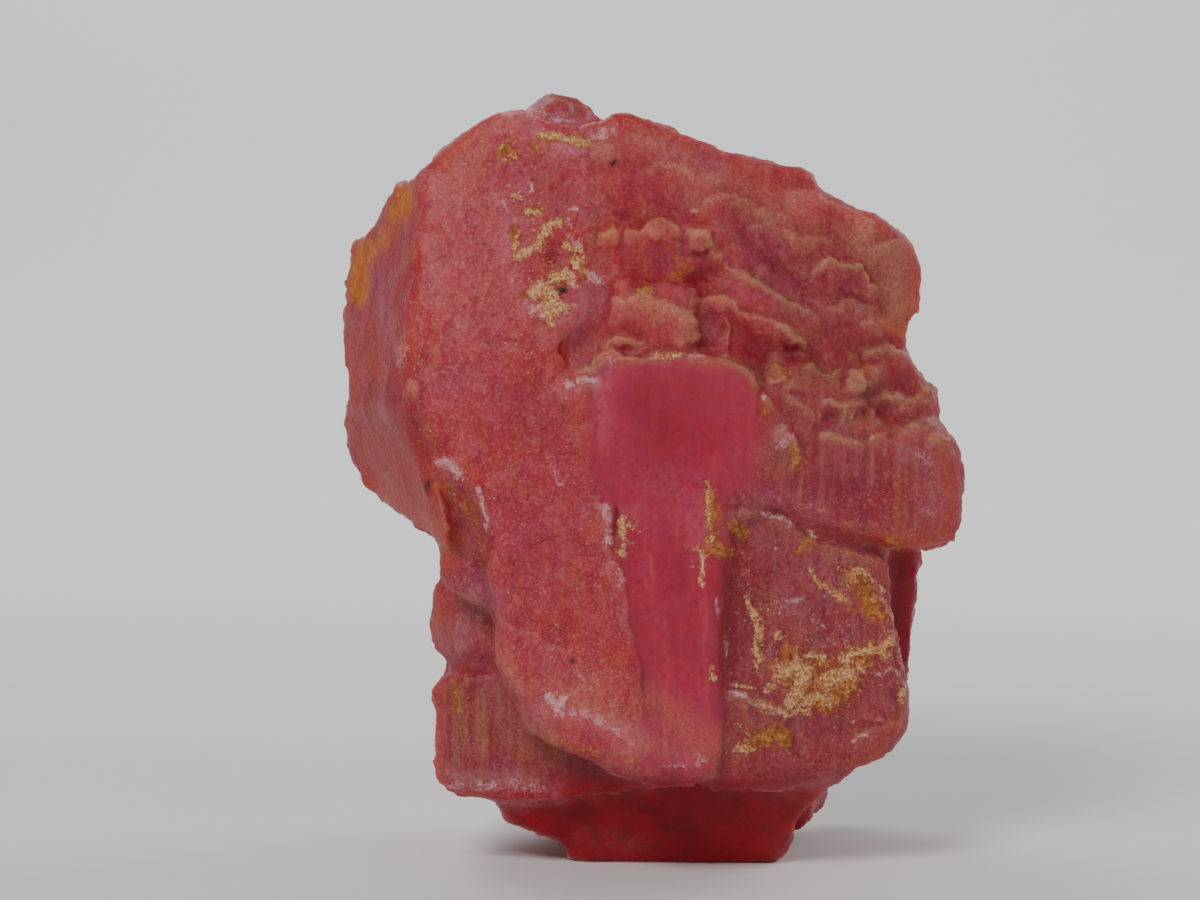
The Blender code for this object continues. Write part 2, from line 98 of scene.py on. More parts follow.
# Growth ledges: lines from left to right. Below one the stone stands out by `out` mm, and falls back within
# `reach` units.
LEDGES = [
    ([(592, 242), (600, 231), (612, 227), (622, 236)], 0.16, 26),
    ([(622, 233), (640, 232), (650, 221), (661, 217), (673, 222), (684, 236)], 0.18, 28),
    ([(684, 236), (692, 229), (706, 231), (713, 242), (716, 251), (723, 252), (727, 263)], 0.2, 26),
    ([(722, 262), (736, 269), (750, 277), (762, 280), (776, 292), (790, 301)], 0.16, 24),
    ([(608, 302), (616, 296), (626, 301), (634, 295), (641, 291), (651, 296), (664, 301), (676, 305),
      (688, 311)], 0.14, 30),
    ([(598, 349), (606, 342), (614, 336), (623, 333), (634, 338), (646, 347)], 0.16, 9),
    ([(572, 373), (588, 366), (600, 352), (614, 345), (624, 355), (640, 357), (652, 355), (661, 352),
      (680, 352), (692, 356), (702, 358), (717, 359), (725, 356), (736, 361), (746, 368), (756, 379),
      (760, 392)], 0.2, 26),
    ([(688, 297), (700, 300), (714, 294), (728, 296), (738, 302), (741, 310), (753, 312), (768, 316),
      (786, 323), (800, 332), (810, 346)], 0.18, 20),
    ([(738, 276), (754, 273), (765, 285), (780, 296), (790, 302), (808, 308), (824, 317)], 0.16, 22),
    ([(812, 277), (819, 264), (830, 257), (846, 262), (859, 262), (866, 269), (869, 283),
      (882, 285)], 0.2, 26),
    ([(834, 303), (850, 299), (863, 305), (877, 309)], 0.12, 16),
    ([(768, 319), (784, 322), (795, 332), (808, 341), (813, 353)], 0.16, 18),
    ([(856, 323), (870, 319), (881, 325), (886, 336)], 0.14, 14),
    ([(843, 357), (851, 353), (861, 357)], 0.1, 9),
    ([(860, 352), (880, 349), (890, 345), (904, 352), (915, 358), (922, 370)], 0.2, 20),
    ([(798, 366), (811, 363), (819, 372), (831, 374), (846, 369)], 0.18, 18),
    ([(782, 393), (795, 396), (805, 404), (815, 416), (819, 428)], 0.14, 16),
    ([(866, 397), (884, 391), (900, 394), (914, 399), (925, 391), (934, 392)], 0.18, 20),
    ([(818, 403), (827, 397), (840, 400), (852, 398), (866, 404)], 0.12, 14),
    ([(820, 436), (832, 431), (845, 437), (859, 440), (872, 434), (890, 433)], 0.14, 13),
    ([(898, 431), (911, 424), (923, 427)], 0.14, 14),
    ([(924, 436), (938, 434), (950, 440), (958, 452)], 0.14, 22),
    ([(772, 434), (782, 427), (792, 435), (798, 446), (803, 455)], 0.14, 20),
    ([(757, 402), (764, 394), (773, 402), (779, 413)], 0.12, 14),
    ([(538, 136), (556, 138), (575, 136), (592, 141), (618, 146)], 0.14, 14),
    ([(640, 168), (662, 160), (684, 166), (705, 176), (724, 180)], 0.1, 22),
    ([(700, 200), (722, 192), (746, 199), (768, 210), (790, 214)], 0.1, 24),
    ([(745, 228), (768, 222), (792, 232), (814, 238), (836, 238)], 0.1, 22),
    ([(790, 192), (812, 190), (836, 204), (858, 212), (880, 226)], 0.12, 20),
    ([(868, 246), (886, 240), (900, 236), (914, 244), (922, 256)], 0.14, 22),
    ([(724, 516), (742, 508), (764, 512), (786, 522), (812, 540), (836, 548), (866, 556),
      (888, 560)], 0.1, 16),
    ([(722, 690), (748, 694), (776, 702), (800, 706)], 0.1, 10),
    ([(846, 740), (866, 728), (886, 718), (900, 716)], 0.1, 12),
    ([(500, 615), (520, 628), (540, 634), (556, 652)], 0.07, 18),
    ([(575, 700), (596, 706), (612, 718), (625, 716)], 0.08, 16),
]

# Upright steps: lines from top to bottom. To the left of one (side -1) or the right (side 1) the stone stands
# out, by as many mm, and falls back within as many units.
STEPS = [
    ([(690, 312), (692, 332), (697, 352)], -1, 0.25, 26),
    ([(728, 312), (731, 336), (729, 360)], -1, 0.12, 14),
    ([(604, 500), (608, 528), (612, 545), (620, 560), (626, 590), (632, 625), (640, 660), (643, 706),
      (640, 760)], -1, 0.07, 34),
    ([(648, 548), (650, 580), (649, 612)], 1, 0.06, 10),
    ([(664, 610), (662, 660), (663, 716), (660, 765)], 1, 0.05, 16),
    ([(700, 500), (703, 560), (702, 640), (704, 720)], 1, 0.05, 12),
    ([(566, 330), (560, 352), (570, 372)], -1, 0.14, 20),
    ([(820, 404), (824, 416), (822, 428)], -1, 0.14, 10),
    ([(840, 402), (843, 414), (841, 427)], 1, 0.14, 9),
    ([(854, 402), (856, 414), (853, 424)], -1, 0.12, 8),
    ([(868, 402), (866, 412), (868, 424)], 1, 0.14, 14),
    ([(796, 455), (800, 480), (798, 505)], 1, 0.08, 18),
    ([(446, 672), (444, 720), (446, 780)], 1, 0.1, 12),
    ([(462, 672), (461, 720), (463, 784)], 1, 0.09, 14),
    ([(486, 680), (484, 730), (487, 780)], 1, 0.06, 14),
    ([(887, 556), (890, 600), (892, 650), (902, 690)], -1, 0.12, 16),
]

# Domes and pits: (u, v), half width, half height, and how far out each stands in mm (negative is a pit).
DOMES = [
    ((775, 376), 14, 12, 0.16), ((856, 383), 10, 13, 0.18), ((608, 238), 14, 12, 0.06),
    ((655, 229), 14, 12, 0.08), ((700, 240), 14, 12, 0.08), ((415, 391), 7, 12, 0.16),
    ((404, 352), 6, 12, 0.08), ((830, 413), 9, 11, -0.05), ((861, 412), 7, 9, -0.04),
    ((557, 257), 13, 9, -0.05), ((700, 275), 18, 9, -0.04), ((712, 330), 17, 26, -0.06),
    ((760, 345), 20, 14, -0.05), ((628, 347), 15, 5, -0.07), ((797, 350), 14, 8, -0.05),
    ((765, 412), 11, 9, -0.07), ((617, 520), 5, 17, -0.13), ((562, 290), 4, 3, -0.08),
    ((614, 162), 3, 3, -0.08), ((536, 112), 14, 10, 0.08), ((560, 108), 16, 10, 0.08),
    ((508, 152), 9, 7, 0.06), ((902, 690), 6, 9, 0.08), ((870, 645), 12, 8, 0.06),
]

# Strokes: a line of points, half width, and strength. One point alone makes a spot.
ROUNDED = [
    ([(446, 160), (440, 210), (428, 300), (416, 370), (424, 430), (444, 474)], 40, 1.0),
]
CREAM = [
    ([(559, 220), (548, 226), (541, 240), (532, 250), (518, 255)], 7.8, 1.0),
    ([(515, 236), (514, 250)], 6.5, 0.9), ([(566, 244), (582, 250)], 7.8, 0.8),
    ([(578, 258), (576, 268)], 6.5, 0.95), ([(552, 276), (566, 272), (568, 282)], 9.1, 1.0),
    ([(534, 292), (544, 288), (552, 300), (546, 312), (560, 306)], 13, 1.1),
    ([(548, 314), (553, 328)], 6.5, 0.9), ([(526, 212), (537, 212)], 6.5, 0.8),
    ([(516, 196), (521, 199)], 5.2, 0.9), ([(541, 135), (556, 136), (566, 141), (586, 143)], 5.9, 1.0),
    ([(504, 158), (516, 158)], 5.2, 0.7), ([(500, 145), (508, 140)], 3.9, 0.6),
    ([(528, 168), (534, 168)], 5.2, 0.6),
    ([(745, 599), (752, 608), (757, 620), (760, 634), (754, 646), (760, 656)], 6.5, 1.0),
    ([(761, 656), (760, 676)], 3.2, 0.8), ([(774, 632), (782, 636)], 5.2, 0.8),
    ([(810, 571), (824, 585), (842, 600)], 5.2, 1.0), ([(855, 572), (870, 576), (880, 590)], 6.5, 0.8),
    ([(852, 654), (866, 652), (880, 648), (888, 640)], 7.8, 1.1),
    ([(780, 672), (796, 668), (806, 676), (798, 690), (790, 700)], 13, 1.1),
    ([(762, 702), (774, 708), (786, 712)], 5.2, 0.9), ([(826, 682), (838, 674), (852, 676)], 12, 1.0),
    ([(806, 700), (818, 694), (830, 700)], 8, 0.95), ([(796, 660), (812, 656), (826, 662)], 7, 0.9),
    ([(842, 660), (856, 664), (866, 672)], 6, 0.9), ([(786, 716), (800, 708), (812, 712)], 5, 0.9),
    ([(766, 690), (776, 684)], 5, 0.9), ([(735, 683), (744, 687), (754, 690)], 3.9, 1.0),
    ([(736, 722), (750, 732)], 3.9, 0.8), ([(740, 748), (752, 748)], 6.5, 0.9),
    ([(899, 690), (899, 702)], 5.9, 1.0), ([(706, 494), (708, 520), (710, 544)], 3.9, 0.8),
    ([(699, 546), (701, 566), (703, 588)], 3.6, 1.0), ([(810, 530), (816, 542)], 4.5, 0.8),
    ([(622, 522), (625, 540), (622, 556)], 5.9, 0.85), ([(710, 676), (714, 680)], 5.9, 1.1),
    ([(656, 357), (684, 357)], 6.5, 0.7), ([(892, 352), (910, 357)], 5.2, 0.6),
    ([(520, 190), (536, 240), (560, 300)], 36, 0.26), ([(760, 610), (790, 680), (850, 680)], 46, 0.28),
    ([(840, 560), (884, 620), (890, 680)], 22, 0.28),
]
OCHRE = [
    ([(526, 296), (540, 290), (548, 302)], 10.4, 0.9), ([(548, 226), (538, 246)], 9.1, 0.9),
    ([(514, 232), (516, 250)], 9.1, 0.9), ([(526, 212), (536, 210)], 9.1, 0.85),
    ([(576, 260), (580, 270)], 9.1, 0.9), ([(550, 278), (568, 278)], 10.4, 0.8),
    ([(541, 137), (566, 140), (590, 143)], 9.1, 0.85), ([(532, 140), (536, 150)], 7.8, 0.7),
    ([(500, 150), (514, 152)], 10.4, 0.8), ([(660, 356), (684, 356)], 7.8, 0.7),
    ([(709, 494), (712, 520), (712, 546)], 9.1, 1.0), ([(710, 548), (724, 552)], 9.1, 1.1),
    ([(732, 526), (744, 530)], 9.1, 0.9), ([(792, 444), (797, 456), (794, 464)], 6.5, 0.9),
    ([(800, 550), (812, 540)], 9.1, 0.8), ([(822, 580), (842, 596)], 9.1, 0.6),
    ([(850, 575), (870, 590), (876, 612)], 16.9, 0.8), ([(848, 654), (884, 648)], 13, 0.9),
    ([(780, 672), (800, 676), (796, 694)], 20.8, 0.85), ([(824, 680), (852, 680)], 18, 0.95),
    ([(800, 690), (826, 704), (848, 694)], 13, 0.8), ([(790, 650), (830, 660), (870, 664)], 12, 0.6),
    ([(764, 704), (790, 712)], 10.4, 0.7), ([(758, 738), (778, 734), (784, 742)], 14.3, 1.0),
    ([(742, 746), (758, 748)], 9.1, 0.7), ([(754, 640), (762, 660)], 9.1, 0.7),
    ([(890, 546), (896, 544)], 9.1, 1.0), ([(456, 680), (459, 716)], 6.5, 0.6),
    ([(560, 744), (600, 752), (640, 760)], 7.8, 0.4), ([(436, 520), (450, 534), (460, 548)], 11.7, 0.4),
    ([(860, 380), (862, 372)], 10.4, 0.5), ([(776, 368), (784, 374)], 10.4, 0.5),
    ([(640, 292), (652, 292)], 6.5, 0.5),
]
RUST = [
    ([(402, 182), (402, 204), (396, 214)], 16, 1.3), ([(412, 176), (416, 190)], 10, 0.6),
    ([(366, 246), (360, 266), (358, 292)], 18, 1.4), ([(386, 234), (380, 246)], 12, 1.1),
    ([(365, 300), (362, 310)], 10, 0.5), ([(414, 248), (410, 262)], 12, 0.35),
    ([(503, 149), (513, 152)], 7, 0.7), ([(862, 592), (868, 604), (874, 616)], 13, 1.2),
    ([(820, 664), (846, 668), (872, 662)], 9, 0.8), ([(772, 668), (784, 676)], 7, 0.8),
    ([(846, 596), (852, 612)], 10, 0.5), ([(784, 640), (788, 662)], 6, 0.9),
    ([(818, 700), (830, 708)], 9, 0.9), ([(806, 690), (816, 686)], 8, 0.6),
    ([(766, 738), (782, 740)], 9, 0.7), ([(776, 660), (790, 668)], 7, 0.5),
    ([(718, 504), (720, 524)], 5, 0.9), ([(765, 412)], 10, 0.8), ([(838, 524), (850, 528)], 7, 0.7),
    ([(868, 520), (876, 528)], 5, 0.5), ([(445, 486), (470, 506), (478, 530), (484, 560)], 12, 0.5),
    ([(380, 470), (410, 490), (436, 508)], 14, 0.4), ([(560, 530), (566, 548)], 8, 0.35),
    ([(456, 700), (490, 740), (520, 760)], 26, 0.36), ([(540, 742), (560, 758)], 14, 0.4),
    ([(600, 652), (612, 668)], 8, 0.3), ([(690, 600), (712, 620), (708, 680)], 10, 0.2),
    ([(376, 222), (368, 236)], 10, 0.9), ([(408, 212), (398, 232)], 8, 0.5),
    ([(368, 500), (390, 508), (424, 520)], 10, 0.3), ([(640, 746), (700, 730)], 16, 0.3),
    ([(680, 258), (690, 268), (676, 274)], 9, 0.7), ([(806, 398), (818, 410)], 8, 0.4),
    ([(872, 314), (895, 328), (905, 334)], 10, 0.55), ([(826, 410), (830, 420)], 6, 0.5),
    ([(490, 560), (500, 590)], 7, 0.4),
]
TAN = [
    ([(640, 300), (660, 312), (684, 316), (686, 336)], 15, 0.75), ([(618, 300), (616, 314)], 8, 0.6),
    ([(604, 342), (622, 336), (642, 346)], 6, 0.65), ([(600, 238), (612, 232)], 10, 0.6),
    ([(652, 224), (672, 224)], 9, 0.6), ([(692, 234), (710, 240)], 10, 0.75), ([(775, 372)], 14, 0.9),
    ([(856, 378), (856, 392)], 10, 0.85), ([(724, 360), (742, 366), (756, 384)], 8, 0.75),
    ([(590, 368), (604, 358)], 8, 0.5), ([(800, 366), (815, 366), (830, 376)], 7, 0.5),
    ([(842, 404), (846, 422)], 7, 0.5), ([(826, 262), (818, 270)], 7, 0.5),
    ([(740, 276), (770, 288), (800, 306)], 6, 0.45), ([(720, 298), (738, 304)], 6, 0.55),
    ([(780, 326), (804, 338)], 7, 0.45), ([(890, 350), (912, 360)], 6, 0.8),
    ([(868, 352), (888, 352)], 6, 0.5), ([(884, 394), (902, 400), (906, 410)], 8, 0.5),
    ([(822, 436), (850, 438)], 7, 0.45), ([(900, 430), (920, 428)], 7, 0.45),
    ([(860, 236), (894, 262), (900, 310)], 26, 0.8), ([(820, 226), (790, 236)], 16, 0.3),
    ([(720, 180), (760, 200), (800, 212)], 26, 0.42), ([(640, 140), (680, 160), (700, 200)], 22, 0.45),
    ([(600, 150), (640, 152)], 16, 0.3), ([(404, 336), (398, 350)], 7, 0.5),
    ([(930, 430), (950, 452)], 10, 0.35), ([(848, 412), (872, 424)], 14, 0.4),
    ([(800, 380), (840, 392), (880, 384)], 12, 0.3), ([(500, 118), (470, 150), (452, 200)], 22, 0.22),
    ([(520, 720), (540, 732), (560, 742)], 10, 0.5), ([(508, 660), (520, 690)], 8, 0.55),
    ([(440, 770), (500, 780), (540, 784)], 9, 0.45), ([(650, 700), (712, 744)], 24, 0.55),
    ([(640, 740), (700, 756)], 14, 0.6), ([(545, 700), (590, 700), (620, 724)], 26, 0.45),
    ([(460, 690), (458, 760)], 8, 0.8), ([(480, 700), (482, 756)], 8, 0.5),
    ([(520, 740), (560, 756)], 14, 0.6), ([(498, 690), (506, 740)], 12, 0.4),
    ([(414, 386), (416, 398)], 7, 0.8), ([(760, 450), (780, 470)], 14, 0.30),
]
# Deep red: the stone's darker tone, and painted shade in the pits and recesses, under the front plate and on
# the back plate.
DEEP_AND_SHADE = [
    ([(560, 350), (590, 330), (600, 310)], 20, 0.6), ([(545, 168), (562, 206), (606, 214)], 26, 0.35),
    ([(588, 236), (594, 290)], 18, 0.40), ([(530, 520), (560, 600)], 30, 0.22),
    ([(520, 400), (560, 440)], 36, 0.25), ([(818, 726), (860, 700)], 16, 0.35),
    ([(730, 520), (760, 560), (744, 640)], 20, 0.35), ([(820, 470), (850, 500)], 20, 0.35),
    ([(745, 330), (760, 354)], 18, 0.75), ([(786, 350), (806, 352)], 13, 0.85),
    ([(690, 278), (716, 274)], 13, 0.95), ([(628, 348)], 13, 0.9), ([(625, 324), (642, 334)], 9, 0.7),
    ([(830, 412)], 10, 0.8), ([(862, 410)], 9, 0.8), ([(553, 256)], 14, 1.0),
    ([(630, 270), (636, 286)], 12, 0.5), ([(616, 508), (617, 532)], 5, 1.0),
    ([(650, 400), (664, 430), (660, 470)], 44, 0.55), ([(690, 390), (700, 440)], 34, 0.35),
    ([(680, 540), (676, 640)], 30, 0.25), ([(730, 560), (734, 660)], 22, 0.65),
    ([(760, 520), (800, 560)], 22, 0.35), ([(800, 600), (820, 630)], 24, 0.5),
    ([(905, 570), (902, 640)], 14, 0.8), ([(560, 165), (566, 190)], 14, 0.35),
    ([(530, 740), (545, 752)], 18, 0.6), ([(500, 830), (640, 815), (780, 820)], 34, 0.95),
    ([(600, 790), (720, 790), (800, 780)], 14, 0.6), ([(480, 560), (486, 600)], 8, 0.5),
    ([(885, 300), (880, 320)], 12, 0.5), ([(895, 375), (902, 384)], 12, 0.6),
]
SCUFF = [
    ([(506, 112), (522, 108), (530, 114)], 8, 0.9), ([(502, 132), (512, 128)], 6, 0.6),
    ([(590, 140), (604, 134), (614, 130)], 8, 0.7), ([(530, 184), (532, 192)], 4, 0.95),
    ([(504, 197), (506, 208)], 3, 0.9), ([(570, 208), (576, 209)], 3, 1.0), ([(573, 226)], 3, 0.9),
    ([(566, 222), (572, 236), (580, 246)], 7, 0.5), ([(588, 274), (600, 282)], 7, 0.7),
    ([(568, 286), (576, 284)], 5, 0.7), ([(520, 300), (530, 312), (546, 318)], 6, 0.6),
    ([(508, 278), (512, 284)], 5, 0.6), ([(568, 384), (594, 381)], 5, 1.0),
    ([(612, 356), (612, 362)], 7, 0.8), ([(690, 357), (700, 358)], 6, 0.7), ([(763, 398)], 6, 1.0),
    ([(693, 213), (698, 212)], 4, 0.8), ([(645, 215)], 8, 0.35),
    ([(604, 507), (607, 526), (611, 543)], 6, 0.85), ([(617, 566), (622, 590)], 5, 0.5),
    ([(440, 458), (452, 466), (458, 478)], 9, 0.8), ([(478, 488), (484, 508), (486, 528)], 5, 0.85),
    ([(455, 492)], 6, 0.6), ([(552, 462), (560, 480)], 8, 0.5), ([(404, 352), (401, 366)], 8, 0.55),
    ([(400, 430)], 9, 0.4), ([(761, 513), (778, 519), (794, 526)], 3, 0.8),
    ([(796, 503), (810, 506), (821, 510)], 2.5, 0.8), ([(808, 528), (816, 536)], 4, 0.7),
    ([(775, 548), (783, 550)], 3.5, 0.7), ([(792, 600), (802, 600)], 5, 0.7),
    ([(776, 600), (782, 612), (778, 620)], 4, 0.5), ([(716, 604), (720, 616)], 3.5, 0.8),
    ([(724, 636), (727, 656)], 3, 0.6), ([(800, 630), (812, 640)], 7, 0.45),
    ([(731, 690), (756, 702), (780, 714)], 2.5, 1.0),
    ([(878, 672), (892, 668), (902, 676), (902, 690)], 4, 0.7),
    ([(880, 590), (886, 612), (894, 640), (902, 664)], 4, 0.55),
    ([(845, 746), (858, 738), (867, 733)], 3, 0.9), ([(852, 724), (858, 722)], 3, 0.8),
    ([(872, 718), (878, 716)], 3, 0.8), ([(712, 757), (700, 762)], 6, 0.6),
    ([(660, 766), (700, 768)], 4, 0.5), ([(550, 694), (556, 704), (564, 700)], 6, 1.0),
    ([(560, 712), (584, 714), (600, 720)], 8, 0.6), ([(600, 726), (616, 730), (630, 742)], 6, 0.5),
    ([(536, 112), (550, 118), (572, 122)], 8, 0.6), ([(584, 272), (592, 280)], 4, 0.9),
    ([(556, 648), (580, 652), (600, 660)], 5, 0.3), ([(540, 590), (548, 600)], 7, 0.35),
    ([(660, 734), (662, 742)], 6, 0.4), ([(480, 610), (478, 630)], 8, 0.4),
    ([(450, 782), (500, 788), (540, 786)], 8, 0.6), ([(790, 604), (840, 640)], 40, 0.22),
    ([(740, 560), (760, 700)], 26, 0.18), ([(787, 436), (780, 446)], 12, 0.45),
    ([(912, 446), (930, 462)], 10, 0.4), ([(928, 510), (934, 516)], 6, 0.35),
    ([(655, 470), (668, 475)], 5, 0.3), ([(560, 660), (600, 700)], 40, 0.2),
]
# Pale pink veils: paler patches of the stone, and painted light that lifts a recess in shade and the lower
# rims.
PALE_VEILS_AND_LIGHT = [
    ([(506, 112), (530, 116), (560, 150), (610, 140)], 22, 0.9),
    ([(600, 132), (660, 150), (720, 176)], 18, 0.5), ([(440, 180), (432, 230), (436, 300)], 18, 0.7),
    ([(384, 306), (392, 340)], 12, 0.5), ([(376, 404), (388, 424)], 10, 0.5),
    ([(404, 350), (400, 362)], 8, 0.6), ([(450, 180), (470, 300), (440, 400)], 40, 0.35),
    ([(610, 366), (600, 400), (606, 440)], 12, 0.5), ([(650, 480), (690, 500), (700, 540)], 26, 0.45),
    ([(540, 110), (564, 116), (584, 126)], 14, 0.8),
    ([(500, 200), (510, 300), (560, 330), (600, 280)], 22, 0.45),
    ([(462, 640), (466, 612), (478, 592)], 20, 1.0), ([(440, 690), (438, 770)], 9, 0.6),
    ([(454, 772), (480, 778), (520, 776)], 12, 1.0), ([(448, 786), (520, 784), (560, 790)], 12, 0.8),
    ([(540, 712), (590, 720), (640, 740), (620, 752)], 24, 0.8), ([(540, 660), (600, 690)], 34, 0.4),
    ([(905, 450), (935, 470), (930, 510)], 24, 0.6), ([(780, 436), (790, 456)], 14, 0.7),
    ([(750, 520), (800, 560), (850, 600)], 30, 0.45), ([(790, 600), (820, 640)], 24, 0.45),
    ([(730, 700), (800, 730), (880, 700)], 20, 0.2), ([(556, 392), (600, 384)], 12, 0.8),
    ([(440, 466), (486, 520)], 14, 0.5), ([(604, 510), (612, 570), (630, 640)], 8, 0.5),
    ([(655, 357), (700, 360)], 8, 0.6), ([(702, 322), (716, 346)], 14, 0.75),
    ([(478, 800), (520, 804), (556, 800)], 12, 0.7), ([(580, 836), (640, 846)], 16, 0.25),
    ([(896, 352), (918, 362), (934, 384)], 7, 0.8), ([(940, 420), (958, 450), (960, 520)], 8, 0.6),
    ([(700, 766), (640, 764)], 7, 0.7), ([(500, 590), (500, 640), (520, 690)], 8, 0.4),
    ([(840, 205), (880, 215), (910, 250)], 10, 0.5),
]
DARK = [
    ([(614, 162)], 3, 1.0), ([(427, 482), (427, 490)], 3.5, 1.0), ([(560, 290), (565, 290)], 4, 1.0),
    ([(520, 292)], 3, 0.8), ([(573, 660)], 2.5, 0.9), ([(660, 714)], 3.5, 0.8), ([(483, 487)], 2.5, 0.8),
    ([(567, 705)], 1.8, 0.7), ([(740, 190)], 2.5, 0.6),
]
# Painted glowing edges: orange-red as if lit through from behind.
PAINTED_GLOW_STROKES = [
    ([(350, 350), (354, 420), (372, 478)], 16, 0.5), ([(372, 440), (400, 466), (428, 486)], 22, 0.6),
    ([(366, 366), (396, 372), (408, 380)], 9, 0.45),
    ([(372, 484), (410, 508), (440, 530), (448, 560)], 20, 0.9),
    ([(908, 250), (914, 290), (910, 322)], 14, 0.4), ([(884, 316), (908, 336), (906, 348)], 12, 0.5),
    ([(930, 400), (944, 430)], 16, 0.5), ([(950, 460), (956, 500), (950, 535)], 18, 0.7),
    ([(880, 542), (930, 543)], 12, 0.9), ([(440, 590), (438, 630)], 14, 0.7),
    ([(438, 680), (436, 780)], 12, 0.55), ([(896, 720), (880, 748), (850, 768)], 12, 0.6),
    ([(430, 210), (450, 300)], 20, 0.15), ([(500, 120), (440, 160)], 12, 0.3),
]


def smooth(t):
    """0 below t = 0, 1 above t = 1, and an easy curve between."""
    t = np.clip(t, 0.0, 1.0)
    return t * t * (3.0 - 2.0 * t)


def lattice(cells, seed):
    """A fixed pseudo-random number from 0 to 1 for each whole-number point."""
    n = (cells[:, 0] * 73856093) ^ (cells[:, 1] * 19349663) ^ (cells[:, 2] * 83492791) ^ (seed * 2654435761)
    n = (n ^ (n >> 13)) * 1274126177
    n = n ^ (n >> 16)
    return (n & 0xFFFFFF) / float(0xFFFFFF)


def noise(points, size, seed):
    """Smooth noise from -1 to 1, whose bumps are about `size` mm across."""
    scaled = points / size
    cell = np.floor(scaled).astype(np.int64)
    part = smooth(scaled - cell)
    total = np.zeros(len(points))
    for corner in range(8):
        step = np.array([corner & 1, corner >> 1 & 1, corner >> 2 & 1])
        weight = np.prod(np.where(step == 1, part, 1.0 - part), axis=1)
        total += weight * lattice(cell + step, seed)
    return total * 2.0 - 1.0


def blocks(points, size, seed):
    """Flat-faced blocks from -1 to 1, about `size` mm across and parallel to EDGES, each a little tilted."""
    scaled = points @ np.linalg.inv(EDGES) / size
    cell = np.floor(scaled).astype(np.int64)
    nearest = np.full(len(points), np.inf)
    height = np.zeros(len(points))
    for corner in range(27):
        near = cell + np.array([corner % 3 - 1, corner // 3 % 3 - 1, corner // 9 - 1])
        jitter = np.stack([lattice(near, seed + axis) for axis in range(3)], axis=1)
        apart = scaled - near - 0.15 - 0.7 * jitter
        away = np.abs(apart).max(axis=1)
        here = away < nearest
        tilt = (apart * (np.roll(jitter, 1, axis=1) - 0.5)).sum(axis=1)
        height[here] = (1.6 * lattice(near, seed + 3) - 0.8 + tilt)[here]
        nearest[here] = away[here]
    return height


def front_view(points):
    """(u, v) of each point in the front view."""
    apart = points - EYE
    depth = -apart @ BACK
    unit = VIEW_WIDTH * LENS / SENSOR / depth
    return VIEW_WIDTH / 2 + apart[:, 0] * unit, VIEW_HEIGHT / 2 - (apart @ UP) * unit


def line_distance(u, v, line):
    """Distance of each (u, v) from a line of points."""
    line = np.array(line, float)
    if len(line) == 1:
        return np.hypot(u - line[0, 0], v - line[0, 1])
    best = np.full(len(u), np.inf)
    for start, end in zip(line[:-1], line[1:]):
        along = end - start
        t = np.clip(((u - start[0]) * along[0] + (v - start[1]) * along[1]) / (along @ along), 0.0, 1.0)
        best = np.minimum(best, np.hypot(u - start[0] - t * along[0], v - start[1] - t * along[1]))
    return best


def inside(u, v, outline, soft):
    """1 well inside an outline, 0 well outside, and a soft border `soft` units wide."""
    distance = line_distance(u, v, outline + outline[:1])
    within = np.zeros(len(u), bool)
    for (u0, v0), (u1, v1) in zip(outline, outline[1:] + outline[:1]):
        crosses = (v0 > v) != (v1 > v)
        span = v1 - v0 if v1 != v0 else 1.0
        within ^= crosses & (u < u0 + (v - v0) / span * (u1 - u0))
    return smooth(0.5 + np.where(within, distance, -distance) / soft)


def strokes(u, v, marks, soft):
    """The strongest of the strokes at each (u, v), from 0 to 1, each fading towards its half width."""
    total = np.zeros(len(u))
    for line, half, strength in marks:
        total = np.maximum(total, strength * smooth((1.25 - line_distance(u, v, line) / half) / (2 * soft)))
    return total


# ----------------------------------------------------------
# The skin and its points.
def fine_skin(source):
    """A fine, even skin over the CAD stone, with coordinates in mm."""
    graph = bpy.context.evaluated_depsgraph_get()
    mesh = bpy.data.meshes.new_from_object(source.evaluated_get(graph))
    mesh.transform(source.matrix_world)
    mesh.transform(Matrix.Scale(1.0 / MM, 4))
    skin = bpy.data.objects.new("rhodochrosite_cluster", mesh)
    bpy.context.scene.collection.objects.link(skin)
    remesh(skin)
    return skin


def remesh(skin):
    """Gives the skin small, even faces."""
    grid = skin.modifiers.new("grid", "REMESH")
    grid.mode = "VOXEL"
    grid.voxel_size = SKIN_SIZE
    apply_modifiers(skin)


def apply_modifiers(skin):
    graph = bpy.context.evaluated_depsgraph_get()
    mesh = bpy.data.meshes.new_from_object(skin.evaluated_get(graph))
    skin.modifiers.clear()
    old = skin.data
    skin.data = mesh
    bpy.data.meshes.remove(old)


def rows_of(items, name, width=3, kind=float):
    """One value of every vertex, normal or edge of a mesh, as the rows of an array."""
    values = np.empty(len(items) * width, kind)
    items.foreach_get(name, values)
    return values.reshape(-1, width)


def points_of(mesh):
    return rows_of(mesh.vertices, "co")


def normals_of(mesh):
    return rows_of(mesh.vertex_normals, "vector")


def edges_of(mesh):
    return rows_of(mesh.edges, "vertices", 2, np.int32)


def set_points(mesh, points):
    mesh.vertices.foreach_set("co", points.ravel())
    mesh.update()


def spread(values, edges, times):
    """Averages values over neighbouring points, so many times."""
    count = len(values)
    ends = np.concatenate([edges[:, 0], edges[:, 1]])
    others = np.concatenate([edges[:, 1], edges[:, 0]])
    links = np.maximum(np.bincount(ends, minlength=count), 1)
    columns = [values] if values.ndim == 1 else list(values.T)
    for _ in range(times):
        columns = [0.4 * c + 0.6 * np.bincount(ends, c[others], count) / links for c in columns]
    return columns[0] if values.ndim == 1 else np.stack(columns, axis=1)


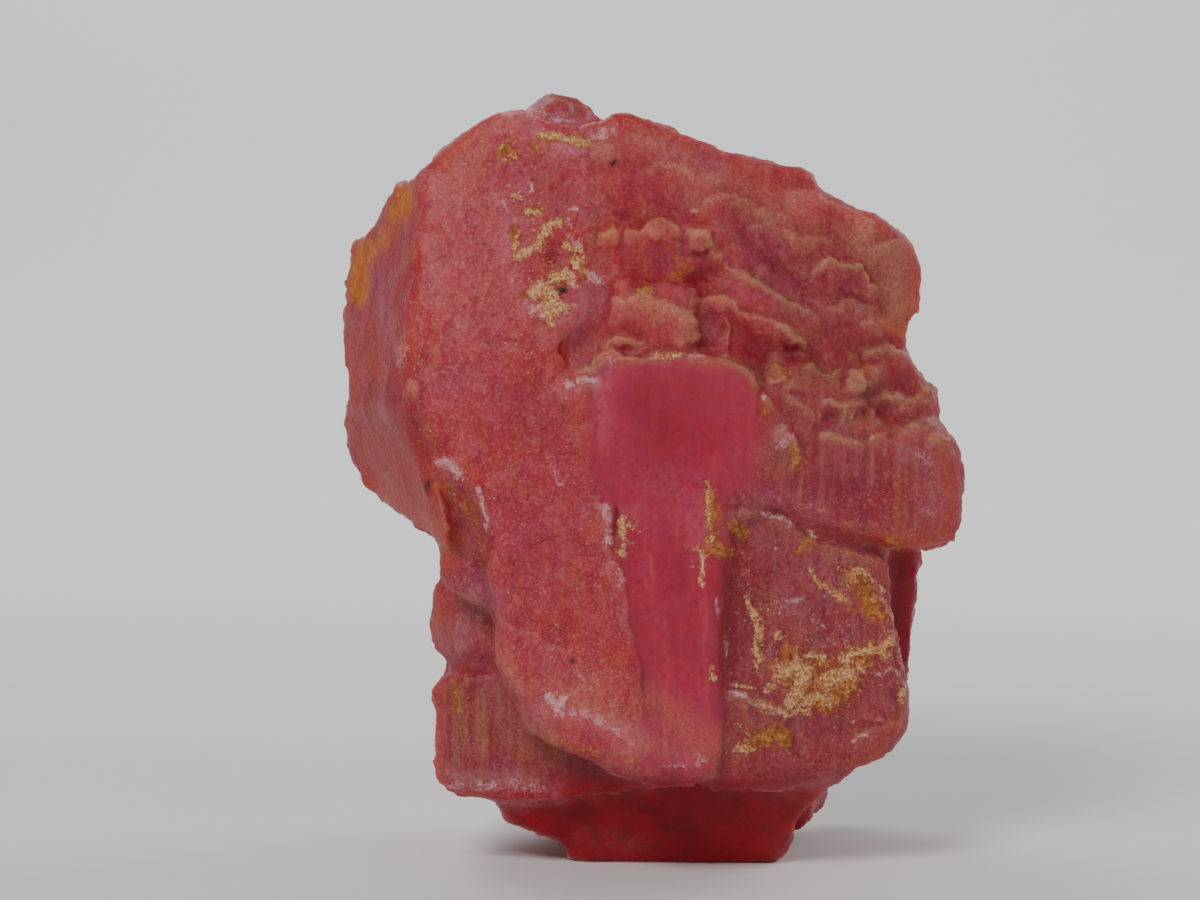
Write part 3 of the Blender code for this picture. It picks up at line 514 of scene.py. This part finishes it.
def eased(points, edges, weight, times):
    """Smooths the points where the weight is above 0, by as much as the weight."""
    part = weight > 0.01
    number = np.cumsum(part) - 1
    inner = number[edges[part[edges].all(axis=1)]]
    moved = points.copy()
    moved[part] += (spread(points[part], inner, times) - points[part]) * weight[part, None]
    return moved


def soften(skin):
    """Rounds off the CAD stone's facets, most on the smooth faces."""
    mesh = skin.data
    edges = edges_of(mesh)
    points = points_of(mesh)
    points = points * 0.3 + spread(points, edges, 4) * 0.7
    u, v = front_view(points)
    facing_front = smooth((-normals_of(mesh)[:, 1] - 0.2) / 0.3)
    even = np.maximum(0.8 * inside(u, v, UPPER, 30.0), 0.95 * inside(u, v, COLUMN, 24.0)) * facing_front
    points = eased(points, edges, spread(even, edges, 10), EVEN_STEPS)
    points = eased(points, edges, strokes(u, v, ROUNDED, 0.7) * facing_front, CORNER_STEPS)
    set_points(mesh, points)
    remesh(skin)


# ----------------------------------------------------------
# The near side, the kinds of surface and the marks.
class NearSide:
    """Where the eye sees each point in the front view, and how far the surface there faces the eye."""

    def __init__(self, points, normals, warp):
        self.u, self.v = front_view(points)
        to_eye = EYE - points
        to_eye /= np.linalg.norm(to_eye, axis=1)[:, None]
        facing = (normals * to_eye).sum(axis=1)
        self.near = smooth((facing - 0.05) / 0.35)
        self.marked = smooth((facing - 0.18) / 0.3)
        self.front = self.near > 0.0
        bent_u = self.u + 3.0 * warp[:, 0] + 2.4 * noise(points, 0.24, seed=111)
        bent_v = self.v + 3.0 * warp[:, 2] + 2.4 * noise(points, 0.24, seed=112)
        self.exact = self.u[self.front], self.v[self.front]
        self.bent = bent_u[self.front], bent_v[self.front]

    def whole(self, values):
        """Values of the near side as values of all points, fading out at the stone's outline."""
        every = np.zeros(len(self.near))
        every[self.front] = values
        return every * self.near

    def region(self, outline, soft):
        return self.whole(inside(*self.bent, outline, soft))

    def strokes(self, marks, soft=0.7):
        return self.whole(strokes(*self.bent, marks, soft))


def kinds_of(side):
    """How far each point belongs to each kind of surface, from 0 to 1."""
    # The underside and the back plate: glassier, and painted dark crimson as shade.
    ends = np.maximum(inside(*side.bent, UNDERSIDE, 14.0), inside(*side.bent, BACK_PLATE, 8.0))
    return SimpleNamespace(
        column=side.whole(inside(*side.exact, COLUMN, 22.0)),
        upper=side.region(UPPER, 22.0),
        block=side.region(RIGHT_BLOCK, 14.0),
        flank=side.region(FLANK, 12.0),
        slope=side.region(TOP_SLOPE, 40.0),
        stained=side.region(STAINED, 12.0),
        lower=side.region(LOWER_BLOCK, 12.0),
        left=side.region(LEFT_FACE, 16.0),
        glassy_and_shaded=side.whole(ends),
        rest=1.0 - side.near,
    )


def ledge_lines(u, v):
    """At each (u, v): the height of the ledges and upright steps in mm, how far it is a ledge's lip, and how
    far it is in the hollow above one."""
    height = np.zeros(len(u))
    lip = np.zeros(len(u))
    hollow = np.zeros(len(u))
    for line, out, reach in LEDGES:
        us, vs = np.array(line, float).T
        below = v - np.interp(u, us, vs)
        ends = smooth((u - us[0]) / 7.0) * smooth((us[-1] - u) / 7.0)
        fall = 1.0 - np.clip(below / reach / 1.6, 0.0, 1.0)
        height += LEDGE_RISE * out * ends * smooth(below / CREST) * fall
        strength = ends * smooth(out / 0.14)
        on_ledge = smooth((below + 1.5) / 2.5)
        lip = np.maximum(lip, strength * on_ledge * (1.0 - smooth(below / 16.0)))
        hollow = np.maximum(hollow, strength * smooth((below + 11.0) / 7.0) * (1.0 - on_ledge))
    for line, side, out, reach in STEPS:
        us, vs = np.array(line, float).T
        beside = side * (u - np.interp(v, vs, us))
        ends = smooth((v - vs[0]) / 10.0) * smooth((vs[-1] - v) / 10.0)
        height += out * ends * smooth(beside / CREST) * (1.0 - smooth(beside / reach))
    return height, lip, hollow


def dome_heights(u, v):
    height = np.zeros(len(u))
    for (u0, v0), wide, tall, out in DOMES:
        height += out * smooth(1.6 - 1.6 * (((u - u0) / wide) ** 2 + ((v - v0) / tall) ** 2))
    return height


def texture(points, warp, side, kind):
    """Height of each kind of surface's own fine relief, in mm."""
    grain = noise(points, 0.16, seed=201)
    sugar = blocks(points, 0.34, seed=211)
    lumps = noise(points, 0.55, seed=221)
    waves = noise(points, 1.3, seed=231)
    thin_lines = noise(points * [1.0, 0.15, 0.06], 0.26, seed=241)
    fine_blocks = blocks(points + 0.08 * warp, [0.62, 0.9, 0.40], seed=251)
    terraces = blocks(points + 0.10 * warp, [0.8, 30.0, 0.46], seed=271)
    terraces += 0.6 * blocks(points + 0.06 * warp, [0.42, 30.0, 0.27], seed=281)
    cleavage = 0.065 * blocks(points + 0.1 * warp, [1.0, 0.9, 0.8], seed=261) + 0.035 * fine_blocks

    rough = 1.0 - kind.column
    height = rough * (0.018 * grain + 0.022 * lumps + 0.030 * waves)
    height += kind.column * (0.012 * waves + 0.010 * thin_lines * smooth((side.v - 520) / 80))
    height += kind.left * rough * (0.034 * sugar + 0.024 * np.abs(lumps) + 0.012 * thin_lines)
    height += kind.upper * rough * (0.024 * terraces + 0.018 * thin_lines)
    height += kind.block * (0.024 * thin_lines + 0.012 * fine_blocks)
    height += kind.lower * 0.040 * thin_lines
    height += kind.stained * (0.036 * fine_blocks + 0.020 * sugar)
    height += kind.rest * (cleavage + 0.014 * grain)
    return height


def crusts(points, side, kind):
    """The marks of the crusts and scuffs, from 0 to 1, and their height in mm."""
    ragged = 0.55 * noise(points, 0.22, seed=301) + 0.45 * noise(points, 0.10, seed=311)
    patches = np.clip(0.45 + 0.5 * noise(points, 0.6, seed=321), 0.0, 0.9)
    cream = side.strokes(CREAM) * side.marked
    ochre = side.strokes(OCHRE) * side.marked
    scuff = side.strokes(SCUFF) * side.marked
    wild = noise(points, 3.2, seed=331) + 0.45 * noise(points, 0.5, seed=341)
    back = smooth((wild - 0.56) / 0.3) * kind.rest
    raised = smooth((np.maximum(cream, 0.8 * ochre) + 0.6 * ragged - 0.45) / 0.3)
    height = raised * (0.05 + 0.05 * ragged) + back * (0.04 + 0.04 * ragged) + 0.02 * scuff
    marks = {
        "cream": np.maximum(cream, back * patches),
        "ochre": np.maximum(ochre, 0.7 * back),
        "scuff": scuff,
    }
    return marks, height


def stains_and_painted_light(points, side, kind, lip, hollow):
    """The marks that are only colour, from 0 to 1: rust, dark specks, tan and deep red tones with painted
    highlights and shade, pale veils with painted light, and painted glowing edges.
    """
    patches = noise(points, 0.6, seed=321)[side.front]
    rust = side.whole(strokes(*side.bent, RUST, 0.7) * (0.8 + 0.3 * patches))
    wild = noise(points, 2.6, seed=351) + 0.3 * noise(points, 0.7, seed=361)
    back = smooth((wild - 0.40) / 0.4) * kind.rest
    # Deep red: darker tone, with painted shade in pits, recesses and under the front plate.
    deep = side.strokes(DEEP_AND_SHADE) * side.marked
    # The flank is made deeper red towards its bottom, and the lower block is given painted shadow.
    deep = np.maximum(deep, 0.45 * kind.flank * smooth((side.v - 330.0) / 100.0) + 0.22 * kind.lower)
    return {
        "rust": np.clip(np.maximum(rust, 0.5 * back), 0.0, 1.0),
        # Tan: the stone's tan tone, with a painted highlight on the ledge lips.
        "tan": np.clip(side.strokes(TAN) * side.marked + 0.55 * lip, 0.0, 1.0),
        # The hollows above the ledges are given painted shade.
        "deep": np.clip(deep + 0.35 * hollow, 0.0, 1.0),
        "dark": side.whole(strokes(*side.exact, DARK, 0.5)),
        "painted_glow": side.strokes(PAINTED_GLOW_STROKES, 0.9),
        "veils_and_painted_light": side.strokes(PALE_VEILS_AND_LIGHT, 0.9),
    }


def surfaces(edges, side, kind):
    """The marks of the kinds of surface, from 0 to 1."""
    bright = np.maximum.reduce([kind.left, kind.column, 0.85 * kind.slope, kind.glassy_and_shaded, 0.3 * kind.flank])
    dull = spread(side.near * (1.0 - bright) + 0.5 * kind.rest, edges, 12)
    lined = 0.35 * kind.upper + 0.5 * kind.block + 0.9 * kind.lower + 0.4 * kind.stained + 0.10 * kind.column
    return {
        "calm": np.maximum(kind.column, 0.85 * kind.glassy_and_shaded),
        "glassy_and_shaded": kind.glassy_and_shaded,
        "lined": np.clip(lined, 0.0, 1.0),
        "dull": np.clip(dull, 0.0, 1.0),
        "upper": np.clip(kind.upper + 0.7 * kind.rest, 0.0, 1.0),
    }


def carve(skin):
    """Carves the fine relief, and stores the marks for the material."""
    mesh = skin.data
    edges = edges_of(mesh)
    points = points_of(mesh)
    points = points * 0.4 + spread(points, edges, 3) * 0.6
    set_points(mesh, points)
    normals = normals_of(mesh)
    warp = np.stack([noise(points, 0.7, seed=101 + axis) for axis in range(3)], axis=1)
    side = NearSide(points, normals, warp)
    kind = kinds_of(side)
    ledges, lip, hollow = (side.whole(values) for values in ledge_lines(*side.bent))
    marks, crust_height = crusts(points, side, kind)
    marks.update(stains_and_painted_light(points, side, kind, lip, hollow))
    marks.update(surfaces(edges, side, kind))

    relief = ledges + side.whole(dome_heights(*side.bent)) + texture(points, warp, side, kind) + crust_height
    above_foot = smooth(points[:, 2] / 0.25)
    points = points + normals * (relief * above_foot)[:, None]
    points[above_foot < 0.02, 2] = 0.0
    set_points(mesh, points)

    raised = ((points - spread(points, edges, 8)) * normals_of(mesh)).sum(axis=1)
    marks["ridge"] = np.clip(0.5 + raised * 9.0, 0.0, 1.0)
    for name, values in marks.items():
        layer = mesh.attributes.new(name, "FLOAT", "POINT")
        layer.data.foreach_set("value", values.astype(np.float32))


def thin_out(skin):
    skin.data.calc_loop_triangles()
    ratio = MOST_TRIANGLES / len(skin.data.loop_triangles)
    if ratio < 1.0:
        thin = skin.modifiers.new("thin", "DECIMATE")
        thin.ratio = ratio
        apply_modifiers(skin)


# ----------------------------------------------------------
# The material.
def srgb(red, green, blue):
    """A colour from 0 to 255 as linear numbers."""
    parts = (red / 255, green / 255, blue / 255)
    return tuple(((c + 0.055) / 1.055) ** 2.4 if c > 0.04 else c / 12.92 for c in parts)


ROSES = srgb(176, 20, 44), srgb(168, 24, 70)
WINE = srgb(142, 4, 40)
WARM_RED = srgb(180, 42, 42)
PALE_ROSE = srgb(190, 70, 96)
TAWNY = srgb(180, 74, 54)
PINK = srgb(198, 96, 100)
SUGAR = srgb(216, 130, 122)
GARNET = srgb(120, 4, 22)
MAGENTAS = srgb(178, 20, 62), srgb(170, 26, 76)
SOFT_MAGENTA = srgb(192, 66, 90)
PALE_MAGENTA = srgb(200, 84, 100)
RUBY = srgb(140, 0, 30)
PALE_LINE = srgb(200, 112, 92)
RED_LINE = srgb(136, 2, 26)
# Painted highlight: tan on the raised edges. Painted shade: dark red in the hollows.
RIDGE_HIGHLIGHT = srgb(196, 120, 94)
HOLLOW_SHADE = srgb(134, 6, 22)
HAZE = srgb(204, 152, 140)
# Tan tone of the stone, also used as a painted highlight on the ledge lips.
TAN_AND_LIP_HIGHLIGHT = srgb(198, 126, 100)
# Deep red of the stone, also used as painted shade.
DEEP_RED_AND_SHADE = srgb(138, 0, 30)
# Dark crimsons: painted shade on the underside and the back plate.
SHADED_CRIMSONS = srgb(156, 0, 26), srgb(132, 0, 16)
SHADED_ROSE_STREAK = srgb(176, 22, 50)
# Pale pink of the veils, also used as painted light.
PINK_VEILS_AND_LIGHT = srgb(202, 116, 130)
# Orange-red of the painted glowing edges.
PAINTED_GLOW_ORANGE = srgb(214, 70, 44)
RUSTS = srgb(164, 74, 14), srgb(204, 118, 40)
OCHRES = srgb(150, 82, 28), srgb(196, 136, 70)
CREAMS = srgb(184, 112, 62), srgb(226, 188, 142)
SCUFFED = srgb(222, 172, 178)
SOOT = srgb(30, 22, 18)
# Near white of the painted glints.
PAINTED_GLINT = srgb(248, 214, 208)
DULL_TINT = (0.78, 1.03, 0.98)  # what a duller face keeps of the colour of the bright ones


class Nodes:
    """Short names for the shader nodes used here."""

    def __init__(self, tree):
        self.tree = tree

    def new(self, kind, **settings):
        node = self.tree.nodes.new(kind)
        for name, value in settings.items():
            setattr(node, name, value)
        return node

    def put(self, socket, value):
        if isinstance(value, bpy.types.NodeSocket):
            self.tree.links.new(value, socket)
        elif isinstance(value, tuple) and len(value) == 3:
            socket.default_value = (*value, 1.0)
        else:
            socket.default_value = value

    def mark(self, name):
        return self.new("ShaderNodeAttribute", attribute_name=name).outputs["Fac"]

    def math(self, operation, a, b=0.5, c=0.0, clamp=False):
        node = self.new("ShaderNodeMath", operation=operation, use_clamp=clamp)
        for socket, value in zip(node.inputs, (a, b, c)):
            self.put(socket, value)
        return node.outputs[0]

    def times(self, a, b):
        return self.math("MULTIPLY", a, b)

    def mix(self, factor, a, b, blend="MIX"):
        node = self.new("ShaderNodeMix", data_type="RGBA", clamp_factor=True, blend_type=blend)
        self.put(node.inputs["Factor"], factor)
        self.put(node.inputs[6], a)
        self.put(node.inputs[7], b)
        return node.outputs[2]

    def layer(self, under, over, field, low, high, most=1.0, where=None):
        """`over` laid on `under` as the field goes from low to high, by at most `most`, and by `where`."""
        part = self.remap(field, low, high, 0.0, most)
        return self.mix(part if where is None else self.times(part, where), under, over)

    def remap(self, value, low, high, to_low=0.0, to_high=1.0):
        node = self.new("ShaderNodeMapRange", clamp=True)
        for socket, number in zip(node.inputs, (value, low, high, to_low, to_high)):
            self.put(socket, number)
        return node.outputs[0]

    def scaled(self, place, scale):
        node = self.new("ShaderNodeMapping", vector_type="POINT")
        self.put(node.inputs["Vector"], place)
        node.inputs["Scale"].default_value = scale
        return node.outputs["Vector"]

    def noise(self, place, scale, detail=3.0, rough=0.55):
        node = self.new("ShaderNodeTexNoise")
        self.put(node.inputs["Vector"], place)
        self.put(node.inputs["Scale"], scale)
        self.put(node.inputs["Detail"], detail)
        self.put(node.inputs["Roughness"], rough)
        return node.outputs["Fac"]

    def cells(self, place, scale):
        node = self.new("ShaderNodeTexVoronoi")
        self.put(node.inputs["Vector"], place)
        self.put(node.inputs["Scale"], scale)
        return node


def shared_fields(n):
    """The noises and marks that several parts of the material use."""
    mm = n.scaled(n.new("ShaderNodeTexCoord").outputs["Object"], (1 / MM, 1 / MM, 1 / MM))
    long_way = n.scaled(mm, (1.0, 1.0, 0.3))
    upright = n.scaled(mm, (1.0, 0.4, 0.07))
    calm = n.mark("calm")
    upper = n.mark("upper")
    grainy = n.math("SUBTRACT", 1.0, calm, clamp=True)
    coarse_edge = n.math("SUBTRACT", n.noise(mm, 3.2, 3.0, 0.7), 0.5)
    small_edge = n.math("SUBTRACT", n.noise(mm, 10.0, 3.0, 0.75), 0.5)
    return SimpleNamespace(
        mm=mm,
        broad=n.noise(mm, 0.33, 2.0),
        patch=n.noise(mm, 1.3, 3.0),
        warm=n.noise(mm, 0.62, 3.0, 0.6),
        streak=n.noise(long_way, 2.4, 4.0, 0.65),
        striae=n.noise(upright, 4.2, 3.0, 0.6),
        fine=n.noise(mm, 5.0, 3.0, 0.65),
        grain=n.noise(mm, 11.0, 2.0, 0.6),
        finest=n.noise(mm, 22.0, 2.0, 0.6),
        edge=n.math("ADD", n.times(small_edge, 1.7), n.times(coarse_edge, 1.6)),
        calm=calm,
        upper=upper,
        grainy=grainy,
        sugary=n.times(grainy, n.remap(upper, 0.0, 1.0, 1.0, 0.55)),
        glassy_and_shaded=n.mark("glassy_and_shaded"),
    )


def rose_faces(n, f):
    """The colour of the grainy faces, with the calm column laid into it."""
    body = n.layer(*ROSES, f.broad, 0.36, 0.64)
    body = n.layer(body, WINE, f.patch, 0.44, 0.66, 0.7)
    body = n.layer(body, WARM_RED, f.warm, 0.52, 0.66, 0.40)
    body = n.layer(body, PALE_ROSE, f.warm, 0.46, 0.34, 0.50)
    body = n.layer(body, TAWNY, f.streak, 0.46, 0.70, 0.70, f.grainy)
    body = n.layer(body, PINK, f.fine, 0.50, 0.72, 0.42, f.grainy)
    body = n.layer(body, SUGAR, f.grain, 0.54, 0.72, 0.44, f.sugary)
    low = n.times(n.remap(f.grain, 0.48, 0.28, 0.0, 0.50), n.remap(f.sugary, 0.0, 1.0, 0.15, 1.0))
    body = n.mix(low, body, GARNET)
    column = n.layer(*MAGENTAS, f.patch, 0.38, 0.62)
    column = n.layer(column, SOFT_MAGENTA, f.streak, 0.50, 0.72, 0.50)
    column = n.layer(column, PALE_MAGENTA, f.fine, 0.52, 0.74, 0.30)
    column = n.layer(column, RUBY, f.fine, 0.46, 0.28, 0.40)
    return n.mix(n.times(f.calm, 0.80), body, column)


def lines_tones_and_painted_light(n, f, body):
    """Adds the upright lines, tan tone with painted highlights on raised edges and ledge lips, deep red tone
    with painted shade in hollows and recesses, painted dark crimson shade on the underside and back plate,
    haze, pale veils with painted light, painted glowing edges and dull faces.
    """
    lined = n.mark("lined")
    body = n.layer(body, PALE_LINE, f.striae, 0.52, 0.70, 0.50, lined)
    body = n.layer(body, RED_LINE, f.striae, 0.47, 0.32, 0.55, lined)
    # From the ridge mark: a painted highlight on the raised edges and painted shade in the hollows.
    ridge = n.mark("ridge")
    rim = n.times(n.remap(ridge, 0.56, 0.90), n.remap(f.upper, 0.0, 1.0, 0.35, 0.65))
    rim = n.times(rim, n.remap(f.patch, 0.35, 0.6, 0.45, 1.0))
    body = n.mix(rim, body, RIDGE_HIGHLIGHT)
    hollow = n.times(n.remap(ridge, 0.46, 0.16), n.remap(f.upper, 0.0, 1.0, 0.4, 0.5))
    hollow = n.times(hollow, n.remap(f.grainy, 0.1, 0.6))
    body = n.mix(hollow, body, HOLLOW_SHADE)
    body = n.mix(0.055, body, HAZE)
    # Tan tone, and a painted highlight on the ledge lips.
    body = n.mix(n.times(n.mark("tan"), n.remap(f.grain, 0.36, 0.60, 0.30, 0.95)), body, TAN_AND_LIP_HIGHLIGHT)
    # Deep red: the stone's darker tone, and painted shade.
    body = n.mix(n.times(n.mark("deep"), 0.85), body, DEEP_RED_AND_SHADE)
    # Painted shade: the underside under the front plate and the back plate turn dark crimson.
    crimson = n.layer(*SHADED_CRIMSONS, f.patch, 0.40, 0.62)
    crimson = n.layer(crimson, SHADED_ROSE_STREAK, f.streak, 0.55, 0.75, 0.3)
    body = n.mix(n.times(f.glassy_and_shaded, 0.9), body, crimson)
    # Pale pink veils, partly painted light over a shaded recess and the lower rims.
    body = n.mix(n.times(n.mark("veils_and_painted_light"), n.remap(f.fine, 0.35, 0.65, 0.15, 0.85)), body, PINK_VEILS_AND_LIGHT)
    # Painted glowing edges, orange-red as if lit through.
    body = n.mix(n.times(n.mark("painted_glow"), 0.7), body, PAINTED_GLOW_ORANGE)
    return n.mix(n.mark("dull"), body, DULL_TINT, blend="MULTIPLY")


def ragged(n, f, name, raggedness, low, high):
    """A mark with a ragged border, and nothing where the stone has none of it."""
    mark = n.mark(name)
    edge = n.remap(n.math("ADD", mark, n.times(f.edge, raggedness)), low, high)
    return n.times(edge, n.remap(mark, 0.04, 0.20))


def crusted_faces(n, f, body):
    """Adds the rust stain, crusts and scuffs. Also gives how far each place is crusted."""
    rust = ragged(n, f, "rust", 0.5, 0.18, 0.85)
    ochre = ragged(n, f, "ochre", 1.0, 0.30, 0.62)
    cream = ragged(n, f, "cream", 1.0, 0.38, 0.66)
    scuff = ragged(n, f, "scuff", 1.0, 0.30, 0.90)
    body = n.mix(rust, body, n.layer(*RUSTS, f.fine, 0.35, 0.65))
    body = n.mix(n.times(ochre, 0.85), body, n.layer(*OCHRES, f.fine, 0.40, 0.60))
    body = n.mix(n.times(cream, 0.92), body, n.layer(*CREAMS, f.grain, 0.40, 0.60))
    body = n.mix(n.times(scuff, 0.78), body, SCUFFED)
    body = n.mix(n.mark("dark"), body, SOOT)
    return body, n.math("MAXIMUM", ochre, cream)


def glints(n, f):
    """Small facets, on some of the grainy places: they are smoother, and their colour is given a painted
    glint.
    """
    cells = n.cells(f.mm, 9.0)
    chosen = n.remap(cells.outputs["Color"], 0.80, 0.86)
    spark = n.times(n.remap(cells.outputs["Distance"], 0.22, 0.10), chosen)
    spark = n.times(spark, n.remap(f.patch, 0.40, 0.62))
    return n.times(spark, n.remap(f.sugary, 0.3, 1.0))


def roughness(n, f, crusted, spark):
    rough = n.remap(f.fine, 0.3, 0.7, 0.34, 0.56)
    for place, change in ((f.calm, -0.08), (f.glassy_and_shaded, -0.14), (crusted, 0.35), (spark, -0.25)):
        rough = n.math("MULTIPLY_ADD", place, change, rough, clamp=True)
    return rough


def fine_bumps(n, f, crusted):
    height = n.math("ADD", n.times(f.fine, 0.5), n.times(f.finest, 0.35))
    height = n.times(height, n.remap(f.grainy, 0.0, 1.0, 0.25, 1.0))
    facets = n.times(n.cells(f.mm, 5.5).outputs["Distance"], f.grainy)
    height = n.math("ADD", height, n.times(facets, 0.5))
    height = n.math("ADD", height, n.times(crusted, n.times(f.finest, 0.9)))
    bump = n.new("ShaderNodeBump")
    bump.inputs["Strength"].default_value = 0.75
    bump.inputs["Distance"].default_value = 0.05 * MM
    n.put(bump.inputs["Height"], height)
    return bump.outputs["Normal"]


def stone_material():
    material = bpy.data.materials.new("rhodochrosite")
    material.use_nodes = True
    shader = material.node_tree.nodes["Principled BSDF"]
    n = Nodes(material.node_tree)
    f = shared_fields(n)
    body, crusted = crusted_faces(n, f, lines_tones_and_painted_light(n, f, rose_faces(n, f)))
    spark = glints(n, f)
    # Painted highlight: the glint facets are painted near white.
    n.put(shader.inputs["Base Color"], n.mix(n.times(spark, 0.9), body, PAINTED_GLINT))
    n.put(shader.inputs["Roughness"], roughness(n, f, crusted, spark))
    n.put(shader.inputs["Normal"], fine_bumps(n, f, crusted))
    shader.inputs["Metallic"].default_value = 0.0
    shader.inputs["IOR"].default_value = 1.6
    shader.inputs["Specular IOR Level"].default_value = 0.22
    shader.inputs["Subsurface Weight"].default_value = 0.5
    shader.inputs["Subsurface Radius"].default_value = (1.0, 0.20, 0.20)
    shader.inputs["Subsurface Scale"].default_value = 1.4 * MM
    return material


# ----------------------------------------------------------
# The floor, the lights and the camera.
def pale_floor():
    """A floor that bends up into a wall behind the stone."""
    flat = [(-FLOOR_REACH + (FLOOR_REACH + FLOOR_BEND) * step / 12, 0.0) for step in range(12)]
    turns = [math.pi / 2 * step / 12 for step in range(13)]
    bend = [(FLOOR_BEND + FLOOR_RADIUS * math.sin(a), FLOOR_RADIUS * (1 - math.cos(a))) for a in turns]
    rows = flat + bend + [(FLOOR_BEND + FLOOR_RADIUS, FLOOR_RADIUS + WALL_HEIGHT)]
    verts = [(x, y, z) for y, z in rows for x in (-FLOOR_REACH, FLOOR_REACH)]
    faces = [(2 * i, 2 * i + 1, 2 * i + 3, 2 * i + 2) for i in range(len(rows) - 1)]
    mesh = bpy.data.meshes.new("floor")
    mesh.from_pydata(verts, [], faces)
    mesh.shade_smooth()
    floor = bpy.data.objects.new("floor", mesh)
    bpy.context.scene.collection.objects.link(floor)
    material = bpy.data.materials.new("pale_floor")
    material.use_nodes = True
    shader = material.node_tree.nodes["Principled BSDF"]
    shader.inputs["Base Color"].default_value = (0.86, 0.86, 0.86, 1.0)
    shader.inputs["Roughness"].default_value = 0.75
    mesh.materials.append(material)


def area_light(name, place, towards, size, power, colour=(1.0, 1.0, 1.0)):
    data = bpy.data.lights.new(name, "AREA")
    data.size = size
    data.energy = power
    data.color = colour
    light = bpy.data.objects.new(name, data)
    bpy.context.scene.collection.objects.link(light)
    light.location = place
    light.rotation_euler = (Vector(towards) - Vector(place)).to_track_quat("-Z", "Y").to_euler()


def lights():
    middle = (0.0, 0.0, 0.013)
    area_light("key", (-0.085, -0.18, 0.17), middle, 0.08, 0.38, (1.0, 0.98, 0.95))
    area_light("fill", (0.18, -0.16, 0.06), middle, 0.16, 0.045, (0.97, 0.98, 1.0))
    area_light("rim_right", (0.15, 0.09, 0.12), middle, 0.09, 0.14)
    area_light("rim_left", (-0.08, 0.13, 0.17), middle, 0.09, 0.12)
    area_light("backdrop", (0.0, 0.12, 0.42), (0.0, 0.87, 0.24), 0.30, 2.2)
    world = bpy.data.worlds.new("studio")
    bpy.context.scene.world = world
    world.use_nodes = True
    sky = world.node_tree.nodes["Background"]
    sky.inputs["Color"].default_value = (0.80, 0.82, 0.85, 1.0)
    sky.inputs["Strength"].default_value = 0.19


def camera():
    data = bpy.data.cameras.new("camera")
    data.lens = LENS
    data.sensor_width = SENSOR
    data.clip_start = 0.005
    data.clip_end = 10.0
    eye = bpy.data.objects.new("camera", data)
    bpy.context.scene.collection.objects.link(eye)
    eye.location = Vector(EYE * MM)
    eye.rotation_euler = (-Vector(BACK)).to_track_quat("-Z", "Y").to_euler()
    bpy.context.scene.camera = eye


stone = fine_skin(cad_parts[NODE])
soften(stone)
carve(stone)
thin_out(stone)
stone.data.transform(Matrix.Scale(MM, 4))
stone.data.materials.clear()
stone.data.materials.append(stone_material())
stone.data.shade_smooth()
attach(stone, "root")
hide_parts(NODE)
pale_floor()
lights()
camera()
